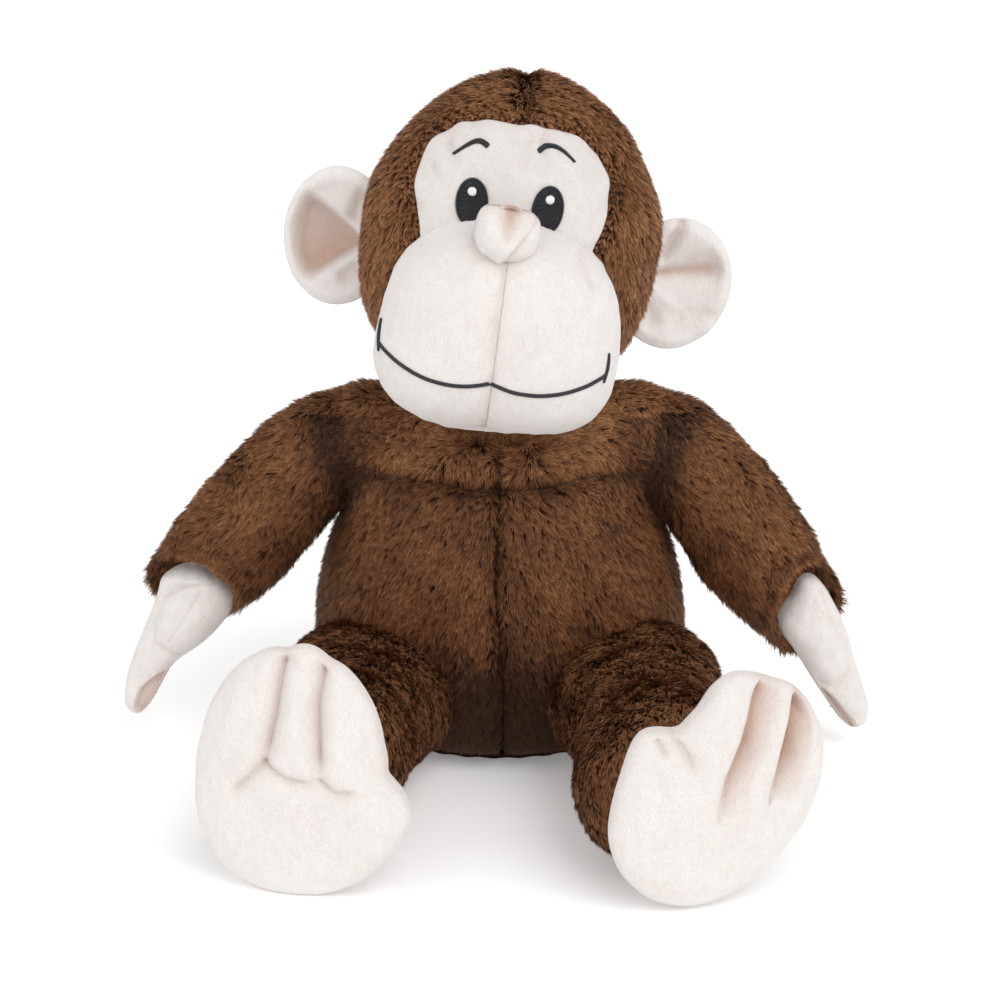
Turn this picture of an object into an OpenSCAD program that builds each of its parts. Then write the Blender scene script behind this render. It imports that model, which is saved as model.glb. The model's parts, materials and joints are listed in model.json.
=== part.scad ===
// A seated plush monkey: long-pile fur skins and short-pile face, ears, hands and feet, sewn
// over separate fillings. +Z is up, the monkey faces -Y, and its own left is +X.
// The origin is the middle of the flat seat panel, on the surface that it sits on.

/* [Body] */
// Half width of the belly at its widest
belly_half_w = 82; // [70:1:90]
// Half depth of the belly at its widest
belly_half_d = 62; // [54:1:68]
// Height of the neck opening above the seat
neck_z = 152; // [148:1:154]
// Thickness of the fur fabric with its pile pressed down
fur_t = 4; // [3:0.5:4.5]
// Thickness of the short-pile fabric
velboa_t = 1.6; // [1.2:0.1:2]

/* [Head] */
// Sideways roll of the head towards its left shoulder, in degrees
head_roll = 7.5; // [0:0.5:9]
// Half width of the head over its fur
head_half_w = 67; // [62:1:68]
// Half width of the muzzle
muzzle_half_w = 51; // [46:1:52]
// Length of an ear from its tip to its lower edge
ear_len = 60; // [50:1:62]

/* [Limbs] */
// Length of an arm from the shoulder to the end of its cuff
arm_len = 104; // [98:1:108]
// Length of a hand beyond its cuff
hand_len = 56; // [48:1:58]
// Angle of the right arm out from the vertical, in degrees
right_arm_spread = 49; // [42:1:52]
// Angle of the left arm out from the vertical, in degrees
left_arm_spread = 44; // [42:1:50]
// Distance from the right hip to its ankle
right_leg_len = 100; // [92:1:106]
// Distance from the left hip to its ankle
left_leg_len = 113; // [100:1:116]
// Height of a foot's sole from heel to toes
foot_len = 95; // [86:1:98]
// Width of a foot across the big toe
foot_w = 83; // [74:1:86]

/* [Hidden] */

// Colours
fur = [0.36, 0.23, 0.15];
velboa = [0.95, 0.91, 0.88];
thread = [0.13, 0.13, 0.15];
white_thread = [0.97, 0.97, 0.96];
fibre = [0.93, 0.93, 0.9];
pellets = [0.8, 0.78, 0.7];

// Clearances
seam_gap = 0.5; // between a skin and what it wraps
ball_gap = 5; // between a limb's ball end and the pocket that it turns in
core_pocket = 15; // how much deeper a limb's pocket is in the torso's filling than in its skin

// Torso: half width and half depth by height, as shares of the belly's
seat_t = 3.2;
bag_top_z = 30;
torso_widths = [[0, 0.68], [18, 0.9], [40, 0.98], [58, 1], [82, 0.92], [107, 0.78], [130, 0.62], [152, 0.36]];
torso_depths = [[0, 0.68], [18, 0.9], [40, 0.99], [58, 1], [82, 0.93], [107, 0.81], [130, 0.66], [152, 0.42]];

// Neck
neck_r = 20;
neck_top_z = 156;

// Head, in its own upright frame about its centre
head_c = [2, -8, 231];
head_r = [head_half_w, 60, 70];
mask_sink = 3; // depth of the short-pile mask below the fur's surface
crown_cap = 125; // angle from the face's axis at which the back panel starts
// Edge of the face opening: angle from the crown, then angle from the face's axis
face_edge = [[0, 50], [18, 56], [45, 51], [85, 41], [122, 52], [150, 61], [180, 66]];
muzzle_c = [0, -46, -27];
muzzle_r = [muzzle_half_w, 42, 46];
chin_z = -62; // height of the seam between the muzzle's halves and the chin panel
eye_x = 16;
eye_z = 24;
ear_c = [79, 4, -15];
ear_yaw = 14; // turn of an ear's cup outwards, in degrees

// Limbs
shoulder = [67, 0, 138];
arm_r = 24;
cuff_r = 19;
arm_lean = 13; // forward lean of both arms, in degrees
hand_droop = 24; // a hand's angle out from the vertical, in degrees
hip = [46, -40, 34];
hip_r = 31;
ankle_r = 28;
ankle_z = 44;
leg_splay = 13; // turn of each leg outwards, in degrees
foot_depth = 40; // from the ankle's ball centre to the sole

// A point of a square grid, s and t from -1 to 1, moved to a round disc
function disc(s, t) = [s * sqrt(1 - t * t / 2), t * sqrt(1 - s * s / 2)];
function clamp01(x) = max(0, min(1, x));
function mix(a, b, t) = a + (b - a) * t;
function dome(p) = sqrt(max(0, 1 - p[0] * p[0] - p[1] * p[1]));
function total(v, i = 0) = i == len(v) ? 0 : v[i] + total(v, i + 1);

// The closed solid between two sheets, each a function of u and v from 0 to 1
module between(outer, inner, columns, rows) {
    sheet_size = (columns + 1) * (rows + 1);
    points = [for (f = [outer, inner]) for (i = [0:columns]) for (j = [0:rows]) f(i / columns, j / rows)];
    at = function(i, j) i * (rows + 1) + j;
    quads = concat(
        [for (i = [0:columns - 1]) for (j = [0:rows - 1])
            [at(i, j), at(i + 1, j), at(i + 1, j + 1), at(i, j + 1)]],
        [for (i = [0:columns - 1]) for (j = [0:rows - 1])
            [at(i, j + 1), at(i + 1, j + 1), at(i + 1, j), at(i, j)] + sheet_size * [1, 1, 1, 1]],
        [for (i = [0:columns - 1]) wall(at(i + 1, 0), at(i, 0), sheet_size)],
        [for (i = [0:columns - 1]) wall(at(i, rows), at(i + 1, rows), sheet_size)],
        [for (j = [0:rows - 1]) wall(at(0, j), at(0, j + 1), sheet_size)],
        [for (j = [0:rows - 1]) wall(at(columns, j + 1), at(columns, j), sheet_size)]);
    closed(points, [for (q = quads) each [[q[0], q[1], q[2]], [q[0], q[2], q[3]]]]);
}
function wall(a, b, sheet_size) = [a, b, b + sheet_size, a + sheet_size];

// A solid through a stack of rings, each with the same number of points, closed by flat ends
module stack(rings) {
    sides = len(rings[0]);
    top = (len(rings) - 1) * sides;
    points = [for (ring = rings) each ring];
    walls = [for (k = [0:len(rings) - 2]) for (i = [0:sides - 1])
        let (a = k * sides + i, b = k * sides + (i + 1) % sides)
        each [[a, b, b + sides], [a, b + sides, a + sides]]];
    ends = [for (i = [1:sides - 2]) each [[0, i + 1, i], [top, top + i, top + i + 1]]];
    closed(points, concat(walls, ends));
}

// A polyhedron whose triangles are turned the right way round, whichever way they were listed
module closed(points, triangles) {
    signed = total([for (t = triangles) points[t[0]] * cross(points[t[1]], points[t[2]])]);
    polyhedron(points, signed > 0 ? [for (t = triangles) [t[2], t[1], t[0]]] : triangles);
}

// ---- Torso ----

// Pulls a torso point in along its own radius until it clears a ball
function pocketed(p, c, r) =
    let (reach = norm([p[0], p[1]]), d = [p[0], p[1]] / reach)
    let (along = c[0] * d[0] + c[1] * d[1], drop = p[2] - c[2])
    let (square = along * along - (c[0] * c[0] + c[1] * c[1] + drop * drop - r * r))
    let (entry = square > 0 ? along - sqrt(square) : reach)
    (entry > 0 && entry < reach) ? [d[0] * entry, d[1] * entry, p[2]] : p;

// A torso point at a height and an angle, inset from the fur's surface and more so in the limbs' pockets
function torso_at(z, a, inset, pocket_inset) =
    let (p = [(belly_half_w * lookup(z, torso_widths) - inset) * cos(a),
        (belly_half_d * lookup(z, torso_depths) - inset) * sin(a), z])
    let (side = [p[0] < 0 ? -1 : 1, 1, 1])
    let (clear_of_arm = pocketed(p, mul(shoulder, side), arm_r + ball_gap + pocket_inset))
    pocketed(clear_of_arm, mul(hip, side), hip_r + ball_gap + pocket_inset);
function mul(a, b) = [for (i = [0:2]) a[i] * b[i]];

module torso_panel(from_angle, to_angle) {
    low = 0.5;
    sheet = function(inset) function(u, v)
        torso_at(mix(low, neck_z, v), mix(from_angle, to_angle, u), inset, inset);
    color(fur) between(sheet(0), sheet(fur_t), 10, 14);
}
module torso_front_left() { torso_panel(-90, 0); }
module torso_front_right() { torso_panel(-180, -90); }
module torso_back_left() { torso_panel(0, 90); }
module torso_back_right() { torso_panel(90, 180); }

module seat_panel() {
    rim = fur_t + seam_gap + 0.5;
    color(fur) linear_extrude(seat_t)
        polygon([for (a = [0:7.5:352.5]) let (p = torso_at(0, a, rim, rim + seat_t)) [p[0], p[1]]]);
}

module torso_core(from_z, to_z, inset, layers) {
    stack([for (k = [0:layers]) let (z = mix(from_z, to_z, k / layers))
        [for (a = [0:360 / 28:359]) torso_at(z, a, inset, inset + core_pocket)]]);
}
module torso_filling() {
    color(fibre) torso_core(bag_top_z + seam_gap, neck_z - 6, fur_t + 2, 9);
}
module pellet_bag() {
    color(pellets) torso_core(seat_t + seam_gap, bag_top_z, fur_t + 2, 3);
}
module neck_filling() {
    color(fibre) translate([0, 0, neck_z - 5]) cylinder(h = neck_top_z - neck_z + 5, r = neck_r, $fn = 64);
}

// ---- Head ----

// Puts head pieces, made upright about the head's centre, where the rolled head is
module in_head() {
    translate(head_c) rotate([0, head_roll, 0]) children();
}

// A point of the head's surface: angle off the face's axis, angle round it from +X, depth below the fur
function head_at(off, around, inset) = [
    (head_r[0] - inset) * sin(off) * cos(around),
    -(head_r[1] - inset) * cos(off),
    (head_r[2] - inset) * sin(off) * sin(around)];
function edge_at(around) = lookup(acos(sin(around)), face_edge);

// The foremost y of the head and of the muzzle over a point of the face
function head_front(x, z, inset) =
    -(head_r[1] - inset) * dome([x / (head_r[0] - inset), z / (head_r[2] - inset)]);
function muzzle_front(x, z, inset) = muzzle_c[1]
    - (muzzle_r[1] - inset) * dome([x / (muzzle_r[0] - inset), (z - muzzle_c[2]) / (muzzle_r[2] - inset)]);

// side is 1 on the monkey's left and -1 on its right
module head_side_fur(side) {
    sheet = function(inset) function(u, v)
        let (around = mix(-90, 90, u), p = head_at(mix(edge_at(around) + 1.5, crown_cap, v), around, inset))
        [side * p[0], p[1], p[2]];
    color(fur) in_head() between(sheet(0), sheet(fur_t), 12, 7);
}
module head_fur_left() { head_side_fur(1); }
module head_fur_right() { head_side_fur(-1); }
module head_fur_back() {
    sheet = function(inset) function(u, v)
        let (d = disc(2 * u - 1, 2 * v - 1), off = 180 - (180 - crown_cap - 1) * norm(d))
        head_at(off, atan2(d[1], d[0]), inset);
    color(fur) in_head() between(sheet(0), sheet(fur_t), 8, 8);
}
module face_mask() {
    sheet = function(inset) function(u, v)
        let (d = disc(2 * u - 1, 2 * v - 1), around = atan2(d[1], d[0]))
        head_at(edge_at(around) * norm(d), around, inset);
    color(velboa) in_head() between(sheet(mask_sink), sheet(mask_sink + velboa_t), 12, 12);
}
module head_filling() {
    inset = mask_sink + velboa_t + 1.2;
    color(fibre) in_head() stack([for (off = [6:14:174])
        [for (a = [0:360 / 24:359]) head_at(off, a, inset)]]);
}

// A muzzle point: x and z of a unit disc, wrapped past the muzzle's widest and kept in front of the head
function muzzle_at(d, inset, lift) =
    let (share = norm(d), off = 104 * share, out = share > 0 ? d / share : [0, 0])
    let (x = muzzle_c[0] + (muzzle_r[0] - inset) * sin(off) * out[0])
    let (z = muzzle_c[2] + (muzzle_r[2] - inset) * sin(off) * out[1])
    let (y = muzzle_c[1] - (muzzle_r[1] - inset) * cos(off))
    [x, min(y, head_front(x, z, 0) - lift), z];

chin_share = -0.5; // the chin seam's place on the muzzle's disc, -1 at its lower rim
module muzzle_half(side) {
    sheet = function(inset, lift) function(u, v)
        muzzle_at(disc(side * u, mix(chin_share, 1, v)), inset, lift);
    color(velboa) in_head() between(sheet(0, 1 + velboa_t), sheet(velboa_t, 1), 7, 8);
}
module muzzle_left() { muzzle_half(1); }
module muzzle_right() { muzzle_half(-1); }
module chin() {
    sheet = function(inset, lift) function(u, v)
        muzzle_at(disc(2 * u - 1, mix(-1, chin_share - 0.02, v)), inset, lift);
    color(velboa) in_head() between(sheet(0, 1 + velboa_t), sheet(velboa_t, 1), 12, 4);
}
module muzzle_filling() {
    half_w = 42;
    half_h = 35;
    centre_z = -31;
    skin = velboa_t + 1;
    place = function(u, v) let (d = disc(2 * u - 1, 2 * v - 1)) [half_w * d[0], centre_z + half_h * d[1]];
    front = function(u, v) let (p = place(u, v)) [p[0], muzzle_front(p[0], p[1], skin), p[1]];
    rear = function(u, v) let (p = place(u, v))
        [p[0], min(muzzle_c[1] + 4, head_front(p[0], p[1], 0) - 1.2), p[1]];
    color(fibre) in_head() between(front, rear, 9, 9);
}

// A piece that lies on the face: a disc-like outline, its base just proud of what is under it
module on_face(outline, base, rise, columns, rows) {
    rear = function(u, v) let (p = outline(u, v)) [p[0], base(p[0], p[1]) - 0.15, p[1]];
    front = function(u, v) let (p = outline(u, v)) [p[0], base(p[0], p[1]) - 0.15 - rise(u, v), p[1]];
    in_head() between(front, rear, columns, rows);
}
mask_base = function(x, z) head_front(x, z, mask_sink);
muzzle_base = function(x, z) muzzle_front(x, z, 0);

module nose() {
    half_w = 13;
    half_h = 11;
    centre_z = 15;
    clear = 1;
    outline = function(u, v) let (d = disc(2 * u - 1, 2 * v - 1)) [half_w * d[0], centre_z + half_h * d[1]];
    base = function(x, z) min(head_front(x, z, 0) - velboa_t - 1, muzzle_front(x, z, 0)) - clear;
    rise = function(u, v) 2 + 9 * dome(disc(2 * u - 1, 2 * v - 1));
    color(velboa) on_face(outline, base, rise, 8, 8);
}

module eye(side) {
    half_w = 6.5;
    half_h = 7.5;
    outline = function(u, v) let (d = disc(2 * u - 1, 2 * v - 1))
        [side * eye_x + half_w * d[0], eye_z + half_h * d[1]];
    rise = function(u, v) 0.5 + 0.5 * dome(disc(2 * u - 1, 2 * v - 1));
    color(thread) on_face(outline, mask_base, rise, 6, 6);
}
module eye_left() { eye(1); }
module eye_right() { eye(-1); }

module eye_glint(side) {
    half = 1.9;
    over_eye = 1.3;
    above = 4; // height over the eye's middle
    outline = function(u, v) let (d = disc(2 * u - 1, 2 * v - 1))
        [side * eye_x + half * d[0], eye_z + above + half * d[1]];
    base = function(x, z) mask_base(x, z) - over_eye;
    rise = function(u, v) 0.6;
    color(white_thread) on_face(outline, base, rise, 3, 3);
}
module eye_glint_left() { eye_glint(1); }
module eye_glint_right() { eye_glint(-1); }

module brow(side) {
    inner_x = 10.6;
    outer_x = 25.6;
    // height of the brow's arch over its length, thick at the inner end and thin at the outer
    arch = function(u) 41.5 - 5.5 * u + 7.5 * sin(180 * u);
    thick = function(u) mix(2.6, 1.2, u);
    outline = function(u, v) [side * mix(inner_x, outer_x, u), arch(u) + (v - 0.5) * thick(u)];
    rise = function(u, v) 0.7;
    color(thread) on_face(outline, mask_base, rise, 6, 1);
}
module brow_left() { brow(1); }
module brow_right() { brow(-1); }

module mouth(side) {
    corner_x = 41;
    seam_x = 0.6;
    line = function(x) -46 - 0.3 * x + 0.0093 * x * x;
    width = 2;
    outline = function(u, v) let (x = mix(seam_x, corner_x, u)) [side * x, line(x) + (v - 0.5) * width];
    rise = function(u, v) 0.7;
    color(thread) on_face(outline, muzzle_base, rise, 10, 1);
}
module mouth_left() { mouth(1); }
module mouth_right() { mouth(-1); }

// An ear is two plies, cupped forwards, with a thick soft rim
module ear_ply(side, from_y, to_y) {
    half_w = 21;
    cup = 9;
    sheet = function(y) function(u, v)
        let (d = disc(2 * u - 1, 2 * v - 1), depth = cup * (1 - d * d))
        [half_w * d[0], y + depth, ear_len / 2 * d[1]];
    color(velboa) in_head() translate(mul(ear_c, [side, 1, 1]))
        rotate([0, 0, side * ear_yaw]) translate([side * 12, 0, 0]) between(sheet(from_y), sheet(to_y), 7, 7);
}
module ear_left_front() { ear_ply(1, -3.4, -0.2); }
module ear_left_back() { ear_ply(1, 0.2, 3.4); }
module ear_right_front() { ear_ply(-1, -3.4, -0.2); }
module ear_right_back() { ear_ply(-1, 0.2, 3.4); }

// ---- Arms and hands ----

// Puts pieces made along -Z below the shoulder onto the arm's line
module in_arm(side, spread) {
    translate(mul(shoulder, [side, 1, 1]))
        rotate([0, -side * spread, 0]) rotate([-arm_lean, 0, 0]) children();
}
wrist_drop = arm_len - cuff_r; // from the shoulder's ball centre down to the wrist's
// A limb's half thickness at a distance z below its first ball, with round ends about both balls
function limb_r(z, length, r0, r1) =
    z < 0 ? sqrt(max(0, r0 * r0 - z * z)) :
    z > length ? sqrt(max(0, r1 * r1 - (z - length) * (z - length))) : mix(r0, r1, z / length);
// Distances along a limb, close together round its two ends
function limb_steps(length, r0, r1) = concat(
    [for (a = [-80, -55, -28]) r0 * sin(a)],
    [for (k = [0:4]) length * k / 4],
    [for (a = [28, 55, 80]) length + r1 * sin(a)]);

// Half of a limb's fur tube, from one seam round to the other, its axis along -Z
module limb_ply(length, r0, r1, from_angle) {
    steps = limb_steps(length, r0, r1);
    last = len(steps) - 1;
    sheet = function(inset) function(u, v)
        let (z = steps[round(v * last)], past = z < 0 ? z : max(0, z - length), ball = z < 0 ? r0 : r1)
        let (r = limb_r(z, length, r0, r1), a = from_angle + 180 * u)
        let (thin = past == 0 ? r - inset : r * (1 - inset / ball))
        [thin * cos(a), thin * sin(a), -(z - past * inset / ball)];
    color(fur) between(sheet(0), sheet(fur_t), 9, last);
}

module limb_core(length, r0, r1) {
    inset = fur_t + 1;
    in0 = r0 - inset;
    in1 = r1 - inset;
    stack([for (z = limb_steps(length, in0, in1)) let (r = limb_r(z, length, in0, in1))
        [for (a = [0:360 / 18:359]) [r * cos(a), r * sin(a), -z]]]);
}

module arm_ply(side, spread, from_angle) {
    in_arm(side, spread) limb_ply(wrist_drop, arm_r, cuff_r, from_angle);
}
module arm_left_outer() { arm_ply(1, left_arm_spread, -90); }
module arm_left_inner() { arm_ply(1, left_arm_spread, 90); }
module arm_left_filling() { color(fibre) in_arm(1, left_arm_spread) limb_core(wrist_drop, arm_r, cuff_r); }
module arm_right_outer() { arm_ply(-1, right_arm_spread, 90); }
module arm_right_inner() { arm_ply(-1, right_arm_spread, -90); }
module arm_right_filling() { color(fibre) in_arm(-1, right_arm_spread) limb_core(wrist_drop, arm_r, cuff_r); }

// Where the wrist's ball centre is, worked out from the arm's two angles
function wrist(side, spread) = mul(shoulder, [side, 1, 1])
    - wrist_drop * [side * -cos(arm_lean) * sin(spread), sin(arm_lean), cos(arm_lean) * cos(spread)];

module in_hand(side, spread) {
    translate(wrist(side, spread)) rotate([0, -side * hand_droop, 0]) rotate([-arm_lean, 0, 0])
        rotate([0, 0, side * 35]) children();
}
// A hand's outline below the wrist: half width 17, with the root kept clear of the cuff's ball
hand_root = cuff_r + 1.5;
function hand_place(d) = let (half = hand_len / 2)
    [mix(13, 17, clamp01((1 - d[1]) / 1.2)) * d[0], -(hand_root + half) + (half - 1) * d[1]];
module hand_sheet(side, spread, near, far, share) {
    sheet = function(base, height) function(u, v)
        let (d = share * disc(2 * u - 1, 2 * v - 1), p = hand_place(d))
        [p[0], base + height * dome(d), p[1]];
    in_hand(side, spread) between(sheet(near[0], near[1]), sheet(far[0], far[1]), 6, 8);
}
hand_half_t = 9;
module hand_palm(side, spread) {
    color(velboa) hand_sheet(side, spread, [1.6, hand_half_t], [0.2, hand_half_t - 0.4], 1);
}
module hand_back(side, spread) {
    color(velboa) hand_sheet(side, spread, [-1.6, -hand_half_t], [-0.2, 0.4 - hand_half_t], 1);
}
module hand_filling(side, spread) {
    color(fibre) hand_sheet(side, spread, [-0.3, hand_half_t - 2.8], [0.3, 2.8 - hand_half_t], 0.86);
}
module hand_left_palm() { hand_palm(1, left_arm_spread); }
module hand_left_back() { hand_back(1, left_arm_spread); }
module hand_left_filling() { hand_filling(1, left_arm_spread); }
module hand_right_palm() { hand_palm(-1, right_arm_spread); }
module hand_right_back() { hand_back(-1, right_arm_spread); }
module hand_right_filling() { hand_filling(-1, right_arm_spread); }

// ---- Legs and feet ----

// Puts pieces made along -Z onto the leg's line, which runs forwards from the hip
function leg_len(side) = side > 0 ? left_leg_len : right_leg_len;
function leg_rise(side) = asin((ankle_z - hip[2]) / leg_len(side));
module in_leg(side) {
    translate(mul(hip, [side, 1, 1]))
        rotate([0, 0, side * leg_splay]) rotate([-90 - leg_rise(side), 0, 0]) children();
}
module leg_ply(side, from_angle) {
    in_leg(side) limb_ply(leg_len(side), hip_r, ankle_r, from_angle);
}
module leg_left_top() { leg_ply(1, 0); }
module leg_left_under() { leg_ply(1, 180); }
module leg_left_filling() { color(fibre) in_leg(1) limb_core(leg_len(1), hip_r, ankle_r); }
module leg_right_top() { leg_ply(-1, 0); }
module leg_right_under() { leg_ply(-1, 180); }
module leg_right_filling() { color(fibre) in_leg(-1) limb_core(leg_len(-1), hip_r, ankle_r); }

// A foot stands up in front of its ankle's ball, its sole forwards
module in_foot(side) {
    run = leg_len(side) * cos(leg_rise(side));
    translate([side * (hip[0] + run * sin(leg_splay)), hip[1] - run * cos(leg_splay), ankle_z])
        rotate([0, 0, side * leg_splay]) children();
}
// A foot's outline about its ankle, narrower towards the heel, which stands just above the floor
function foot_place(d) = [
    foot_w / 2 * d[0] * mix(0.86, 1, clamp01(d[1] + 0.6)),
    foot_len / 2 * (d[1] + 1) - ankle_z + 0.5];
// How far forwards of the ankle the sole and the back of the foot are, with a hollow for the leg's end
function foot_front(d, inset) = -(foot_depth - 6 - inset + 6 * dome(d));
function foot_rear(d, inset) =
    let (p = foot_place(d), ball = ankle_r + 2.5 + inset, flat = norm(p))
    let (hollow = flat < ball ? -sqrt(ball * ball - flat * flat) : 0)
    min(hollow, -(4 + inset));
module foot_solid(side, front, rear, share, count) {
    sheet = function(depth) function(u, v)
        let (d = share * disc(2 * u - 1, 2 * v - 1), p = foot_place(d)) [p[0], depth(d), p[1]];
    in_foot(side) between(sheet(front), sheet(rear), count, count);
}
module foot_sole(side) {
    color(velboa) foot_solid(side, function(d) foot_front(d, 0), function(d) foot_front(d, velboa_t), 1, 14);
}
module foot_upper(side) {
    sole_back = velboa_t + 0.3;
    wall = 0.92; // share of the outline beyond which the upper turns forwards as its side wall
    front = function(d) norm(d) > wall ? foot_front(d, sole_back) : foot_rear(d, 0) - velboa_t;
    color(velboa) foot_solid(side, front, function(d) foot_rear(d, 0), 1, 14);
}
module foot_filling(side) {
    front = function(d) foot_front(d, velboa_t + 1);
    rear = function(d) foot_rear(d, 0) - velboa_t - 4;
    color(fibre) foot_solid(side, front, rear, 0.8, 8);
}
module foot_left_sole() { foot_sole(1); }
module foot_left_upper() { foot_upper(1); }
module foot_left_filling() { foot_filling(1); }
module foot_right_sole() { foot_sole(-1); }
module foot_right_upper() { foot_upper(-1); }
module foot_right_filling() { foot_filling(-1); }

seat_panel();
torso_front_left();
torso_front_right();
torso_back_left();
torso_back_right();
torso_filling();
pellet_bag();
neck_filling();
head_fur_left();
head_fur_right();
head_fur_back();
face_mask();
muzzle_left();
muzzle_right();
chin();
nose();
eye_left();
eye_right();
eye_glint_left();
eye_glint_right();
brow_left();
brow_right();
mouth_left();
mouth_right();
head_filling();
muzzle_filling();
ear_left_front();
ear_left_back();
ear_right_front();
ear_right_back();
arm_left_outer();
arm_left_inner();
arm_left_filling();
arm_right_outer();
arm_right_inner();
arm_right_filling();
hand_left_palm();
hand_left_back();
hand_left_filling();
hand_right_palm();
hand_right_back();
hand_right_filling();
leg_left_top();
leg_left_under();
leg_left_filling();
leg_right_top();
leg_right_under();
leg_right_filling();
foot_left_sole();
foot_left_upper();
foot_left_filling();
foot_right_sole();
foot_right_upper();
foot_right_filling();
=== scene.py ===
"""A seated plush monkey: long-pile fur, a short-pile face, ears, hands and feet, and embroidery.

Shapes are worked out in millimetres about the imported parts' own places, and become metres in mesh_of().
"""
import json
import math

import bpy
import numpy as np
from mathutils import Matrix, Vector


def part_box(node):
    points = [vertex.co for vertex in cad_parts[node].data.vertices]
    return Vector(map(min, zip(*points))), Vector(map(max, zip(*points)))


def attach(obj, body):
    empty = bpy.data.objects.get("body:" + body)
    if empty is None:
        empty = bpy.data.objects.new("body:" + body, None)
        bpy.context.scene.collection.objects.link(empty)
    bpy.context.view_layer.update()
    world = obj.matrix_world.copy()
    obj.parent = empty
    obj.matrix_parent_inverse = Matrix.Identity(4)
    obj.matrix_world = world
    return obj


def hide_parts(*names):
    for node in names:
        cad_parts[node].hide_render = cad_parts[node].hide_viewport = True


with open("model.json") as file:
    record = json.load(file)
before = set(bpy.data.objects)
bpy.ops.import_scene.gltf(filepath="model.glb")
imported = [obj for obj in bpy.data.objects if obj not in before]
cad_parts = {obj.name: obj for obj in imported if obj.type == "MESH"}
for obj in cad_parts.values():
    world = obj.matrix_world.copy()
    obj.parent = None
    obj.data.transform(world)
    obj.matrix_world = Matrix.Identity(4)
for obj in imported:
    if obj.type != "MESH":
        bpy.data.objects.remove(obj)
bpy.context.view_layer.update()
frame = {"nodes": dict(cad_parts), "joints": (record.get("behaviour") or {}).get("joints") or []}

MM = 0.001
PIVOT = {j["name"]: np.array(j["pos_m"]) / MM for j in frame["joints"]}
AXIS = {j["name"]: np.array(j["axis"]) for j in frame["joints"]}
SIDES = {"left": 1, "right": -1}

# Fur
PILE_DEPTH = 3.5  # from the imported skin's surface down to the cloth that the pile is woven into
PILE_LENGTH = 6.6
TUFT_SIZE = 2.3
# These turn a tuft's cell into four numbers that look random and are the same each run
HASH_MIX = np.array([[12.99, 39.35, 73.16, 26.65], [78.23, 11.14, 52.24, 94.67], [37.72, 83.16, 9.15, 61.86]])
HASH_SPREAD = 43758.55
PILE_PER_CM2 = 430
PILE_WIDTH = 0.43

# Head, upright about its own centre
HEAD_R = np.array([66.0, 60.0, 70.0])
MASK_SINK = 3.0
MUZZLE_C = np.array([0.8, -46.0, -27.0])
MUZZLE_R = np.array([51.0, 42.0, 46.0])
MUZZLE_WRAP = math.radians(104)
MUZZLE_GROW = 1.42  # how much further round the muzzle's cloth goes, into the head
CHIN_SHARE = -0.42  # the chin seam's height on the muzzle's square of cloth
CHEEK_PINCH = [(30, 6), (36, -4)]  # a crease beside the mouth, x and z
VELBOA = 1.4  # thickness of the short-pile cloth


# ---- Small mathematics ----

def unit(vectors):
    return vectors / np.maximum(np.linalg.norm(vectors, axis=-1, keepdims=True), 1e-9)


def mix(a, b, t):
    return a + (b - a) * t


def ease(low, high, x):
    t = np.clip((x - low) / (high - low), 0, 1)
    return t * t * (3 - 2 * t)


def bump(distance, width):
    return np.exp(-(distance / width) ** 2)


def smooth_min(a, b, k):
    h = np.clip(0.5 + 0.5 * (b - a) / k, 0, 1)
    return mix(b, a, h) - k * h * (1 - h)


def smooth_max(a, b, k):
    return -smooth_min(-a, -b, k)


def ripple(points, wavelength, seed):
    """Smooth noise, mostly from -1 to 1, whose waves are about a wavelength long."""
    random = np.random.default_rng(seed)
    count = 9
    waves = unit(random.normal(size=(count, 3)))
    waves *= 2 * math.pi / (wavelength * random.uniform(0.7, 1.5, count))[:, None]
    phase = random.uniform(0, 2 * math.pi, count)
    return np.sin(points @ waves.T + phase).sum(axis=-1) / math.sqrt(2 * count)


def rounded(read, shifts):
    """What read() gives, averaged over small shifts: this rounds the corners of joined points."""
    return sum(read(shift) for shift in shifts) / len(shifts)


def to_segments(x, z, line):
    """Distance from points of a plane to a line of joined points, and the share of its length there."""
    line = np.array(line, float)
    steps = np.linalg.norm(np.diff(line, axis=0), axis=1)
    before = np.concatenate([[0], np.cumsum(steps)])
    best = np.full(np.shape(x), 1e9)
    share = np.zeros(np.shape(x))
    for (ax, az), (bx, bz), start, step in zip(line[:-1], line[1:], before, steps):
        t = np.clip(((x - ax) * (bx - ax) + (z - az) * (bz - az)) / step ** 2, 0, 1)
        gap = np.hypot(x - ax - t * (bx - ax), z - az - t * (bz - az))
        nearer = gap < best
        best = np.where(nearer, gap, best)
        share = np.where(nearer, (start + t * step) / before[-1], share)
    return best, share


def disc(s, t):
    """Points of a square grid, -1 to 1, moved to a round disc."""
    return np.stack([s * np.sqrt(1 - t * t / 2), t * np.sqrt(1 - s * s / 2)], -1)


def square_grid(counts, s_range=(-1, 1), t_range=(-1, 1)):
    return np.meshgrid(np.linspace(*s_range, counts[0]), np.linspace(*t_range, counts[1]), indexing="ij")


def square_height(d):
    """The t that disc() was given for these points."""
    x, y = d[..., 0], d[..., 1]
    level, slope = 2 - x * x + y * y, 2 * math.sqrt(2) * y
    return (np.sqrt(np.clip(level + slope, 0, None)) - np.sqrt(np.clip(level - slope, 0, None))) / 2


class Place:
    """Where a sub-part made about its own origin sits on the whole toy."""

    def __init__(self, origin, x, y, z):
        self.origin = np.array(origin, float)
        self.axes = np.array([x, y, z], float)

    def out(self, points):
        return points @ self.axes + self.origin

    def turn(self, vectors):
        return vectors @ self.axes

    def back(self, points):
        return (points - self.origin) @ self.axes.T


def middle(node):
    low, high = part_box(node)
    return (np.array(low) + np.array(high)) / 2 / MM


# ---- Meshes ----

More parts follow.
